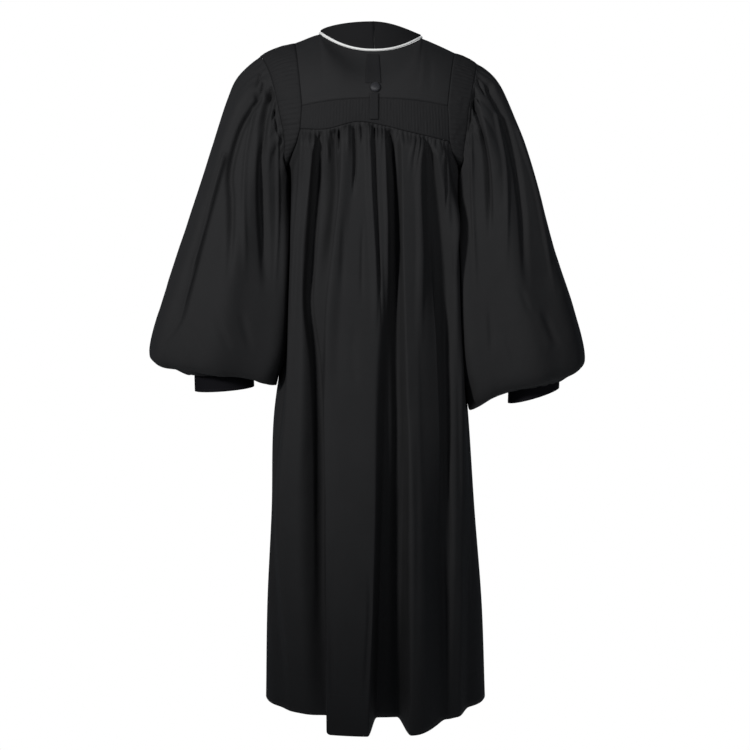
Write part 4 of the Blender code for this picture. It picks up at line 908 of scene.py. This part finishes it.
def gathers(spec, place, below):
    """Uneven gathers that hang from a seam. place runs from 0 to 1 along it, and below is how far down."""
    rng = np.random.default_rng(spec.seed)
    steps = rng.uniform(0.72, 1.28, spec.count)
    edges = np.concatenate([[0], np.cumsum(steps)]) / steps.sum()
    total = np.zeros(np.broadcast(place, below).shape)
    rise = GATHER_AT_SEAM + (1 - GATHER_AT_SEAM) * ease(below / GATHER_RISE)
    for low, high in zip(edges[:-1], edges[1:]):
        long = spec.least + (spec.most - spec.least) * rng.uniform() ** 1.6
        tall = spec.high * rng.uniform(0.65, 1.2) * (0.75 + 0.25 * long / spec.most)
        drift = rng.normal(0, 0.25) * (high - low)
        centre = (low + high) / 2 + drift * np.clip(below / long, 0, 1)
        wide = (high - low) / 2 * (1 + 0.35 * np.clip(below / long, 0, 1))
        away = np.clip((place - centre) / wide, -1, 1)
        total = np.maximum(total, tall * np.cos(np.pi / 2 * away) ** 1.2 * np.exp(-(below / long) ** 2))
    return (total - spec.high * 0.45 * np.exp(-(below / spec.least) ** 2)) * rise


def flutes(count, place, high, seed):
    """Narrow rounded pleats side by side, a little uneven in width and height."""
    rng = np.random.default_rng(seed)
    steps = rng.uniform(0.86, 1.14, count)
    edges = np.concatenate([[0], np.cumsum(steps)]) / steps.sum()
    tall = high * rng.uniform(0.85, 1.0, count)
    k = np.clip(np.searchsorted(edges, place, side="right") - 1, 0, count - 1)
    within = (place - edges[k]) / (edges[k + 1] - edges[k])
    return tall[k] * np.sin(np.pi * np.clip(within, 0, 1)) ** 0.75


def flutes_open(share):
    """How much of its height a flute has along its length."""
    return FLUTE_HELD + (1 - FLUTE_HELD) * ease(np.minimum(share, 1 - share) / FLUTE_OPENS)


def puckers(down, place, seed):
    """How much of its height gathered cloth has, unevenly from place to place."""
    steps, spots = 7, 70
    rng = np.random.default_rng(seed)
    table = rng.uniform(0.15, 1.0, (steps, spots + 1))
    i = np.clip(down * (steps - 1), 0, steps - 1.001)
    j = np.clip(place * spots, 0, spots - 0.001)
    i, j = np.broadcast_arrays(i, j)
    a, b = i.astype(int), j.astype(int)
    u, v = ease(i - a), ease(j - b)
    upper = table[a, b] * (1 - v) + table[a, b + 1] * v
    lower = table[a + 1, b] * (1 - v) + table[a + 1, b + 1] * v
    return upper * (1 - u) + lower * u


# Sewing


STITCH_SPACING, STITCH_LONG, STITCH_THICK = 0.0042, 0.0030, 0.00045
STITCH_SIDES = 6
STITCH_RINGS = ((-0.75, 0.75), (0.0, 1.0), (0.75, 0.75))  # place along half its length, share of its radius


def stitch_row(name, line, normals):
    """A row of stitches along a line of points on the cloth. Each is a bead that narrows to both ends."""
    place = shares_along(line)
    count = max(int(place[-1] / STITCH_SPACING), 2)
    at = np.linspace(0.5, count - 0.5, count) / count * place[-1]

    def read(table, places):
        return np.stack([np.interp(places, place, table[:, i]) for i in range(3)], axis=-1)

    middle = read(line, at)
    tangent = unit(read(line, at + 0.001) - read(line, at - 0.001))
    up = unit(read(normals, at))
    sideways = unit(np.cross(up, tangent))
    sides = STITCH_SIDES
    template = np.array([[x, radius * np.cos(a), radius * np.sin(a)] for x, radius in STITCH_RINGS
                         for a in turns(sides)] + [[-1, 0, 0], [1, 0, 0]])
    faces = quads(len(STITCH_RINGS), sides).tolist()
    for j in range(sides):
        k = (j + 1) % sides
        faces += [[3 * sides, k, j], [3 * sides + 1, 2 * sides + j, 2 * sides + k]]
    points = (middle[:, None] + tangent[:, None] * template[None, :, :1] * STITCH_LONG / 2
              + sideways[:, None] * template[None, :, 1:2] * STITCH_THICK / 2
              + up[:, None] * (template[None, :, 2:3] * STITCH_THICK / 2 + STITCH_THICK * 0.15))
    all_faces = [[c + i * len(template) for c in face] for i in range(count) for face in faces]
    return new_piece(name, points.reshape(-1, 3), all_faces, thread)


def edge_stitches(name, outer, normals, spare):
    """A row of stitches beside each long edge of a strip, short of its ends by spare rows."""
    return [stitch_row(f"{name}_stitches_{i}", outer[spare:-spare, c], normals[spare:-spare, c])
            for i, c in enumerate((2, -3))]


# Materials

THREADS_PER_METRE = 1 / 0.00045
WAVE_BANDS = 3.18           # bands that the wave texture draws in one unit at scale 1


def node_tree(name):
    material = bpy.data.materials.new(name)
    material.use_nodes = True
    tree = material.node_tree
    return material, tree, tree.nodes["Principled BSDF"]


def put(tree, socket, value):
    if isinstance(value, bpy.types.NodeSocket):
        tree.links.new(value, socket)
    else:
        socket.default_value = value


def math_node(tree, operation, *values):
    node = tree.nodes.new("ShaderNodeMath")
    node.operation = operation
    for socket, value in zip(node.inputs, values):
        put(tree, socket, value)
    return node.outputs[0]


def add_node(tree, kind, **values):
    """A new node, or one that is there, with its settings. An output given as a value is linked to its input."""
    node = tree.nodes.new(kind) if isinstance(kind, str) else kind
    for key, value in values.items():
        if hasattr(node, key):
            setattr(node, key, value)
        else:
            put(tree, node.inputs[key.replace("_", " ")], value)
    return node


def noise(tree, place, scale, detail, roughness):
    node = add_node(tree, "ShaderNodeTexNoise", Vector=place, Scale=scale, Detail=detail, Roughness=roughness)
    return node.outputs["Fac"]


def cloth_material(name, colour, roughness, specular, sheen=0.0, uneven=0.10):
    """Woven cloth: fine threads, soft unevenness of colour and gloss, and slight wrinkling."""
    material, tree, shader = node_tree(name)
    uv = add_node(tree, "ShaderNodeUVMap", uv_map="cloth").outputs["UV"]
    place = add_node(tree, "ShaderNodeTexCoord").outputs["Object"]
    threads = math_node(tree, "MAXIMUM", *[
        add_node(tree, "ShaderNodeTexWave", wave_type="BANDS", bands_direction=axis, Vector=uv, Detail=1.0,
                 Scale=THREADS_PER_METRE / WAVE_BANDS, Distortion=0.4).outputs["Fac"] for axis in "XY"])
    cloud = noise(tree, place, 14.0, 3.0, 0.55)
    fuzz = noise(tree, place, 900.0, 2.0, 0.6)
    wrinkle = noise(tree, place, 70.0, 2.0, 0.5)
    shade = math_node(tree, "MULTIPLY", math_node(tree, "ADD", cloud, fuzz), 0.5)
    ramp = add_node(tree, "ShaderNodeValToRGB", Fac=shade)
    for end, position, share in zip(ramp.color_ramp.elements, (0.3, 0.7), (1 - uneven, 1 + uneven)):
        end.position = position
        end.color = (*[c * share for c in colour], 1)
    gloss = add_node(tree, "ShaderNodeMapRange", Value=cloud, To_Min=roughness - 0.06, To_Max=roughness + 0.06)
    wrinkled = add_node(tree, "ShaderNodeBump", Strength=0.25, Distance=0.0012, Height=wrinkle)
    woven = add_node(tree, "ShaderNodeBump", Strength=0.35, Distance=0.0002, Height=threads,
                     Normal=wrinkled.outputs["Normal"])
    add_node(tree, shader, Base_Color=ramp.outputs["Color"], Roughness=gloss.outputs["Result"],
             Specular_IOR_Level=specular, Sheen_Weight=sheen, Sheen_Roughness=0.5, Normal=woven.outputs["Normal"])
    return material


black_cloth = cloth_material("black_polyester", (0.0192, 0.0191, 0.0197), 0.70, 0.08)
# painted shade: the fluted band and the sleeve heads use a slightly darker copy of the same black cloth, for the
# shade among their flutes and gathers
shaded_band_cloth = cloth_material("black_polyester_band_painted_shade", (0.0172, 0.0171, 0.0177), 0.74, 0.06)
# painted shade: the neckband uses a darker copy of the same black cloth, for the shade it stands in
shaded_neck_cloth = cloth_material("black_polyester_neck_painted_shade", (0.0118, 0.0117, 0.0124), 0.74, 0.06)
# painted shade: the cuffs use a much darker copy of the same black cloth, for the shade under the sleeve's
# blousing
shaded_cuff_cloth = cloth_material("black_polyester_cuff_painted_shade", (0.0065, 0.0062, 0.0078), 0.76, 0.05)
strap_cloth = cloth_material("black_polyester_strap", (0.0150, 0.0149, 0.0156), 0.70, 0.08)
button_cloth = cloth_material("button_satin", (0.020, 0.020, 0.023), 0.40, 0.30, 0.03)
thread = cloth_material("black_thread", (0.014, 0.014, 0.016), 0.50, 0.25)
white_cord = cloth_material("white_cord_cover", (0.82, 0.82, 0.80), 0.55, 0.30, 0.10, uneven=0.03)


# Pieces


def fine_yoke():
    halves = []
    for side in SIDES:
        on_neck = np.linspace(0, neck_share(side), 46)
        on_shoulder = np.linspace(neck_share(side), 1, 24)[1:]
        halves.append(yoke_grid(side, np.concatenate([on_neck, on_shoulder]), np.linspace(0, 1, 46)))
    form = np.concatenate([halves[0][:, ::-1], halves[1][:, 1:]], axis=1)
    relief = creases(YOKE_CREASES, form[..., 0], -form[..., 2])
    piece, outer, normals = shell("yoke_cloth", form, relief, INSIDE_SHOULDERS, black_cloth, face=BACK)
    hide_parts("back_yoke")
    sewing = stitch_row("yoke_stitches", outer[YOKE_SEWN, 2:-2], normals[YOKE_SEWN, 2:-2])


def fine_fluting():
    across = np.linspace(-1, 1, BAND_FLUTES * 8 + 1)
    share = np.linspace(0, 1, 22)[:, None]
    form = np.stack([band_line(across, down) for down in np.linspace(0.003, 0.997, len(share))])
    place = (across + 1) / 2
    relief = flutes(BAND_FLUTES, place, FINE_FLUTE_HIGH, 5) * flutes_open(share) * puckers(share, place, 6)
    piece, _, _ = shell("fluting_cloth", form, relief, INSIDE_SHOULDERS, shaded_band_cloth)
    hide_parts("back_fluting")


def fine_back():
    arm, band, rows = 30, 190, 188
    left, right = (armhole_back(side, even_shares(side, arm + 1, BAND_END)[1:]) for side in SIDES)
    edge = np.concatenate([left[::-1], band_line(np.linspace(-1, 1, band), 1.0), right])
    top_drop = -edge[:, 2]
    wide, _, shift, _ = section(top_drop)
    top_cross = np.clip((edge[:, 0] - shift) / wide, -1, 1)
    columns = np.arange(len(top_cross))
    s = np.linspace(0, 1, rows)
    downs = ((np.exp(BACK_PACKED * s) - 1) / (np.exp(BACK_PACKED) - 1))[:, None]
    start = top_drop + SEWN
    drop = start + (HEM_DROP - start) * downs
    below = drop - start
    even = np.stack([even_cross(len(columns), level, BACK) for level in drop.max(axis=1)])
    cross = top_cross + (even - top_cross) * ease(downs * BACK_EVENED)
    from_side = 1 - np.abs(cross)
    form = folded_body(cross, drop, BACK, rise=ease(below / FOLD_RISE))
    form[..., 2] -= HEM_SAG * fold_height(BACK_FOLDS, form[..., 0], drop) * (drop / HEM_DROP) ** 4
    beside = ease((np.abs(cross) - 0.80) / 0.14) * ease(from_side / 0.05)
    form[..., 1] -= SIDE_FULL * beside * ease((below - 0.02) / 0.08) * (1 - 0.7 * ease((drop - 0.45) / 0.25))
    ends = form[:, [0, -1], 1]
    form[:, [0, -1], 1] = np.where(ends > -SEAM, -SIDE_SEWN, ends)
    x = form[..., 0]
    place = np.clip((columns - arm) / (band - 1), 0, 1)[None]
    in_band = ((columns >= arm) & (columns < arm + band))[None]
    relief = (gathers(BACK_GATHERS, place, below) * in_band + drawn(BACK_LINES, x, drop) * ease(below / 0.012)
              + creases(BACK_SOFT, x, drop) * ease(below / 0.05)) * ease(from_side / SIDE_HOLD)
    piece, outer, normals = shell("back_cloth", form, relief, INSIDE_BACK, black_cloth, face=BACK)
    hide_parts("back")
    sewing = hem_stitches("back_hem_stitches", outer, normals)


def hem_stitches(name, outer, normals):
    """The row that holds the hem, a hem's width above the edge."""
    length = np.cumsum(np.linalg.norm(np.diff(outer[::-1], axis=0), axis=-1), axis=0)
    row = len(outer) - 1 - int(np.searchsorted(length.mean(axis=1), HEM_WIDE))
    return stitch_row(name, outer[row, 1:-1], normals[row, 1:-1])


def resample(grid, rows):
    """The grid with the given number of rows, on smooth curves down its columns."""
    steps = np.linalg.norm(np.diff(grid, axis=0), axis=-1).mean(axis=1)
    place = np.concatenate([[0], np.cumsum(steps)])
    flat = through(place, grid.reshape(len(grid), -1), place[-1] * np.linspace(0, 1, rows))
    return flat.reshape(rows, *grid.shape[1:])


def front_form(side, columns):
    shares = np.linspace(0, 1, columns)
    upper = front_upper(side, shares, np.linspace(0, 0.78, 14))
    return resample(np.concatenate([upper, front_lower(side, shares, 14, np.linspace(0, 1, 60))]), 165)


def fine_front(side, form):
    name = SIDES[side]
    shares = np.linspace(0, 1, form.shape[1])
    form[:, -1, 1] = np.where(form[:, -1, 1] < SEAM, SIDE_SEWN, form[:, -1, 1])
    x, drop = np.abs(form[..., 0]), -form[..., 2]
    hold = ease((x - 0.020) / 0.012) * ease((1 - shares) / 0.10)
    below = np.linalg.norm(form - form[:1], axis=-1)
    relief = creases(FRONT_CREASES[side], x, drop) + creases(FRONT_SOFT[side], x, drop)
    relief = relief * hold * ease(below / 0.03)
    piece, outer, normals = shell(f"front_{name}_cloth", form, relief, INSIDE_FRONT, black_cloth, face=FRONT)
    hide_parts(f"front_{name}")
    sewing = hem_stitches(f"front_{name}_hem_stitches", outer, normals)


def fine_fly(forms):
    x = FLY_HALF_WIDE * np.linspace(-1, 1, 19)
    grid = []
    for left, right in zip(forms[-1], forms[1]):
        line = np.concatenate([left[::-1], right])
        grid.append(np.stack([x, *(np.interp(x, line[:, 0], line[:, i]) for i in (1, 2))], axis=-1))
    grid = np.array(grid)
    grid[0] += (grid[1] - grid[0]) * 0.5
    form = grid + (FLY_LIFT + SHELL) * outward_normals(grid, INSIDE_FRONT)
    relief = -0.0004 * ease((np.abs(x) - FLY_HALF_WIDE * 0.8) / (FLY_HALF_WIDE * 0.2))[None]
    piece, outer, normals = shell("fly_cloth", form, relief, INSIDE_FRONT, black_cloth)
    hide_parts("front_fly")
    edge_stitches("fly", outer, normals, 2)


def sleeve_places(rows):
    """Rings of the sleeve, closer where it is gathered and where it turns in over the cuff."""
    return through((0, 0.15, 0.40, 0.70, 0.86, 1.0), (0, 1.2, 4.6, 8.3, 10.6, 13.0), np.linspace(0, 1, rows))


def armpit_close(side, tube, turn):
    """How far the fine cloth of a sleeve comes in towards the body under the arm, where the gap would show."""
    drop = -tube[..., 2]
    gap = side * tube[..., 0] - body_reach(side, tube[..., 1], drop)
    level = ease((drop - ARMPIT_DROP + 0.06) / 0.04) * (1 - 0.5 * ease((drop - 0.60) / 0.14))
    level = level * ease(np.linalg.norm(tube - tube[:1], axis=-1) / 0.025)
    inner = ease((-np.cos(turn) - 0.1) / 0.6)[None]
    return np.clip(gap - ARMPIT_APART, 0, ARMPIT_CLOSE) * level * inner


def sleeve_full(tube, turn):
    """How much fuller the fine sleeve hangs to the back, between its back and the body."""
    around = np.exp(-((np.degrees(turn)[None] - SLEEVE_FULL_AT[0]) / SLEEVE_FULL_AT[1]) ** 2)
    drop = -tube[..., 2]
    return -SLEEVE_FULL * around * ease((drop - ARMPIT_DROP) / 0.15) * (1 - ease((drop - 0.66) / 0.10))


def fine_sleeve(side):
    points = 240
    name = SIDES[side]
    inside = inside_sleeve(side)
    grid = whole_sleeve(side, points, sleeve_places(150))
    turn = turns(points)
    fine_head(side, grid)

    tube = grid[2:].copy()
    tube[0] += unit(tube[1] - tube[0]) * SEWN / 2
    end = cuff_ring(side, points, 0) + np.array([0, 0, SEAM])
    tube[..., 0] -= side * armpit_close(side, tube, turn)
    tube[..., 1] += sleeve_full(tube, turn)
    tube = np.concatenate([tube, [tube[-1] * (1 - t) + end * t for t in (0.33, 0.67, 1.0)]])
    x, drop = tube[..., 0], -tube[..., 2]
    steps = np.linalg.norm(np.diff(tube, axis=0), axis=-1)
    below = np.cumsum(np.concatenate([np.zeros((1, points)), steps]), axis=0)
    above = below[-1] - below
    place = np.linspace(0, 1, points, endpoint=False)[None]
    degrees = np.degrees(turn)[None]
    over_cuff = above - CUFF_TURN_IN
    cuff = gathers(CUFF_GATHERS[side], place, np.maximum(over_cuff, 0)) * (over_cuff > 0) * ease(over_cuff / 0.012)
    to_back = ease((-outward_normals(tube, inside, ring=True)[..., 1] - 0.10) / 0.35)
    relief = (gathers(SLEEVE_GATHERS[side], place, below) * gather_share(points) + cuff
              + creases(SLEEVE_CREASES[side], degrees, below)
              + drawn(SLEEVE_LINES[side], x, drop) * to_back * ease(below / 0.006)
              + creases(SLEEVE_SOFT[side], degrees, below) * ease(below / 0.05)) * ease((above - 0.004) / 0.012)
    gap = side * x - body_reach(side, tube[..., 1], drop)
    relief = np.where(drop > ARMPIT_DROP - 0.02, relief * ease((gap - SLEEVE_CLEAR) / 0.012), relief)
    piece, _, _ = shell(f"sleeve_{name}_cloth", tube, relief, inside, black_cloth, ring=True)
    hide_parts(f"sleeve_{name}")


def fine_head(side, grid):
    """The fluted head, on the first three rings of the whole sleeve."""
    name = SIDES[side]
    s = np.linspace(0, 1, 16)[:, None, None]
    first = grid[0] - np.array([side * (ARMHOLE_GAP - SEWN), 0, 0])
    mid, last = grid[1], grid[2] - unit(grid[2] - grid[1]) * SEWN / 2
    bulge = mid - (first + last) / 2
    form = densify_ring(first * (1 - s) + last * s + bulge * 4 * s * (1 - s), 2)
    columns = form.shape[1]
    place = np.linspace(0, 1, columns, endpoint=False)
    s = s[..., 0]
    relief = (flutes(SLEEVE_FLUTES * 2, place, HEAD_FLUTE_HIGH, 11 + side) * gather_share(columns)
              * flutes_open(s) * puckers(s, place, 17 + side))
    piece, _, _ = shell(f"sleeve_head_{name}_cloth", form, relief, inside_sleeve(side, 0.25, 0.38), shaded_band_cloth,
                        ring=True)
    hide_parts(f"sleeve_head_{name}")


def densify_ring(grid, times):
    """The same rings with more points, on straight lines between them."""
    nxt = np.roll(grid, -1, axis=1)
    steps = [grid * (1 - t) + nxt * t for t in np.arange(times) / times]
    return np.stack(steps, axis=2).reshape(grid.shape[0], -1, grid.shape[2])


def fine_cuff(side):
    name = SIDES[side]
    points, shares = 140, np.linspace(0, 1, 20)
    form = np.stack([cuff_ring(side, points, share) for share in shares])
    relief = 0.0003 * np.sin(turns(points)[None] * 7 + 1.0) * np.sin(np.pi * shares)[:, None]
    piece, outer, normals = shell(f"cuff_{name}_cloth", form, relief, form.mean(axis=(0, 1)), shaded_cuff_cloth,
                                  ring=True)
    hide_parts(f"cuff_{name}")
    sewing = stitch_row(f"cuff_{name}_stitches", outer[-3], normals[-3])


def fine_neckband(side):
    name = SIDES[side]
    count = 60
    seam = neck_seam(side, count, BACK)
    turn = np.linspace(0, np.pi / 2, count)
    foot = seam + neck_way(seam) * 2 * (PIPING_RADIUS + PIPING_GAP)
    end = foot[-1]
    least = end[2] + NECKBAND_LEAST
    top_x, top_y, top_z = NECKBAND_TOP
    peak = np.stack([top_x + (end[0] - top_x) * np.sin(turn), top_y * np.cos(turn),
                     least + (top_z - least) * np.cos(turn) ** NECKBAND_FALL[side]], axis=-1)
    peak[:, 2] = np.maximum(peak[:, 2], foot[:, 2] + NECKBAND_LEAST)
    foot, peak = foot[:-2], peak[:-2]
    foot[0, 0] = peak[0, 0] = NECK[BACK].x + side * 0.00002
    form = np.stack([peak + (foot - peak) * s for s in np.linspace(0, 1, 14)])
    piece, _, _ = shell(f"neckband_{name}_cloth", form, 0.0, INSIDE_NECK, shaded_neck_cloth)
    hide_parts(f"neckband_{name}")


def fine_piping():
    line = piping_line(60, 50)
    way = neck_way(line)
    centre = line + way * (PIPING_RADIUS + PIPING_GAP)
    tangent = unit(np.gradient(centre, axis=0))
    sideways = unit(np.cross(tangent, way))
    up = unit(np.cross(sideways, tangent))
    turn = turns(PIPING_SIDES)[None, :, None]
    rings = centre[:, None] + PIPING_RADIUS * (np.cos(turn) * sideways[:, None] + np.sin(turn) * up[:, None])
    count, sides = rings.shape[:2]
    around = np.arange(sides) / sides * PIPING_ROUND
    coords = np.stack([np.repeat(shares_along(centre), sides), np.tile(around, count)], axis=-1)
    piece = new_piece("piping_cord", rings.reshape(-1, 3), tube_faces(count, sides),
                      white_cord, coords)
    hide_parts("neck_piping")


def strip_form(x, half_top, half_low, drops, lift, rows, cols):
    """A narrow strip down the centre back, as points [down, across]."""
    grid = []
    for share in np.linspace(0, 1, rows):
        drop = drops[0] + (drops[1] - drops[0]) * share
        half = half_top + (half_low - half_top) * share
        grid.append([centre_back_point(v, drop, lift) for v in x + half * np.linspace(-1, 1, cols)])
    return np.array(grid)


def fine_strip(name, node, x, half_top, half_low, drops, lift):
    form = strip_form(x, half_top, half_low, drops, lift + SHELL, 40, 17)
    edge = np.abs(np.linspace(-1, 1, 17))[None]
    piece, outer, normals = shell(name, form, -0.0005 * ease((edge - 0.72) / 0.28), INSIDE_SHOULDERS, strap_cloth)
    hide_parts(node)
    edge_stitches(name, outer, normals, 1)


def fine_button():
    middle, lower, upper = (centre_back_point(BUTTON_X, BUTTON_DROP + way * BUTTON_RADIUS / 2, 0)
                            for way in (0, 1, -1))
    up = unit(upper - lower)
    out = unit(np.cross(np.array([1.0, 0, 0]), up))
    out = out if out[1] < 0 else -out
    across = np.cross(out, up)
    turn = turns(BUTTON_SIDES)[:, None]
    around = np.cos(turn) * across + np.sin(turn) * up
    foot = middle + out * STRAP_LIFT
    keys, at = np.linspace(0, 1, len(BUTTON)), np.linspace(0, 1, BUTTON_RINGS)
    radius, high = (through(keys, column, at) for column in zip(*BUTTON))
    grid = np.array([foot + out * h * BUTTON_HIGH + BUTTON_RADIUS * r * around for r, h in zip(radius, high)])
    offsets = grid - foot
    coords = np.stack([offsets @ across, offsets @ up], axis=-1).reshape(-1, 2)
    piece = new_piece("button_dome", grid.reshape(-1, 3), tube_faces(BUTTON_RINGS, BUTTON_SIDES),
                      button_cloth, coords)
    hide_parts("back_button")


fine_yoke()
fine_fluting()
fine_back()
forms = {side: front_form(side, 112) for side in SIDES}
for side in SIDES:
    fine_front(side, forms[side])
    fine_sleeve(side)
    fine_cuff(side)
    fine_neckband(side)
fine_fly(forms)
fine_piping()
fine_strip("strap_cloth", "back_strap", STRAP_X, STRAP_HALF_TOP, STRAP_HALF_LOW, STRAP_DROPS, STRAP_LIFT)
fine_strip("tab_cloth", "back_tab", TAB_X, TAB_HALF_WIDE, TAB_HALF_WIDE, TAB_DROPS, FLUTE_HIGH + STRAP_LIFT)
fine_button()


# Floor, light and camera

FLOOR_Z, FLOOR_WIDE = -3.5, 7
bpy.ops.mesh.primitive_plane_add(size=FLOOR_WIDE, location=(0, 0, FLOOR_Z))
floor = bpy.context.object
floor.name = "floor"
pale, tree, shader = node_tree("pale_floor")
add_node(tree, shader, Base_Color=(0.93, 0.93, 0.93, 1), Roughness=0.9, Specular_IOR_Level=0.1,
         Emission_Color=(1, 1, 1, 1), Emission_Strength=0.3)
floor.data.materials.append(pale)

SKY_SEEN = 1.0              # what the camera sees behind the robe
SKY_LIGHT = 0.14            # what lights the robe from all round
world = bpy.data.worlds.new("studio")
bpy.context.scene.world = world
world.use_nodes = True
tree = world.node_tree
seen = add_node(tree, tree.nodes["Background"], Color=(1, 1, 1, 1), Strength=SKY_SEEN)
lit = add_node(tree, "ShaderNodeBackground", Color=(0.80, 0.88, 1.0, 1), Strength=SKY_LIGHT)
rays = add_node(tree, "ShaderNodeLightPath")
either = add_node(tree, "ShaderNodeMixShader", Fac=rays.outputs["Is Camera Ray"])
put(tree, either.inputs[1], lit.outputs[0])
put(tree, either.inputs[2], seen.outputs[0])
add_node(tree, tree.nodes["World Output"], Surface=either.outputs[0])


def soft_spot(name, location, target, radius, cone, power):
    """A round soft light that fades evenly from the middle of its cone to its edge."""
    data = bpy.data.lights.new(name, "SPOT")
    data.shadow_soft_size = radius
    data.spot_size = np.radians(cone)
    data.spot_blend = 1.0
    data.energy = power
    light = bpy.data.objects.new(name, data)
    light.location = location
    way = Vector(target) - Vector(location)
    light.rotation_euler = way.to_track_quat("-Z", "Y").to_euler()
    bpy.context.scene.collection.objects.link(light)


soft_spot("key", (-2.7, -3.4, 1.0), (0, 0, -0.26), 0.30, 31, 660)
soft_spot("fill", (2.2, -3.9, 0.5), (0, 0, -0.20), 0.60, 32, 130)
soft_spot("yoke", (1.5, -2.9, 0.9), (0.02, 0, -0.05), 0.30, 9, 150)

bpy.context.scene.view_settings.view_transform = "Standard"

CAMERA_AT = (0.0, -2.8, -0.2805)
CAMERA_PITCH = 8.13
FOCAL_PIXELS, PHOTO_PIXELS = 1385, 750
SENSOR = 36
camera_data = bpy.data.cameras.new("camera")
camera_data.sensor_width = SENSOR
camera_data.lens = FOCAL_PIXELS / PHOTO_PIXELS * SENSOR
camera = bpy.data.objects.new("camera", camera_data)
camera.location = CAMERA_AT
camera.rotation_euler = (np.radians(90 - CAMERA_PITCH), 0, 0)
bpy.context.scene.collection.objects.link(camera)
bpy.context.scene.camera = camera
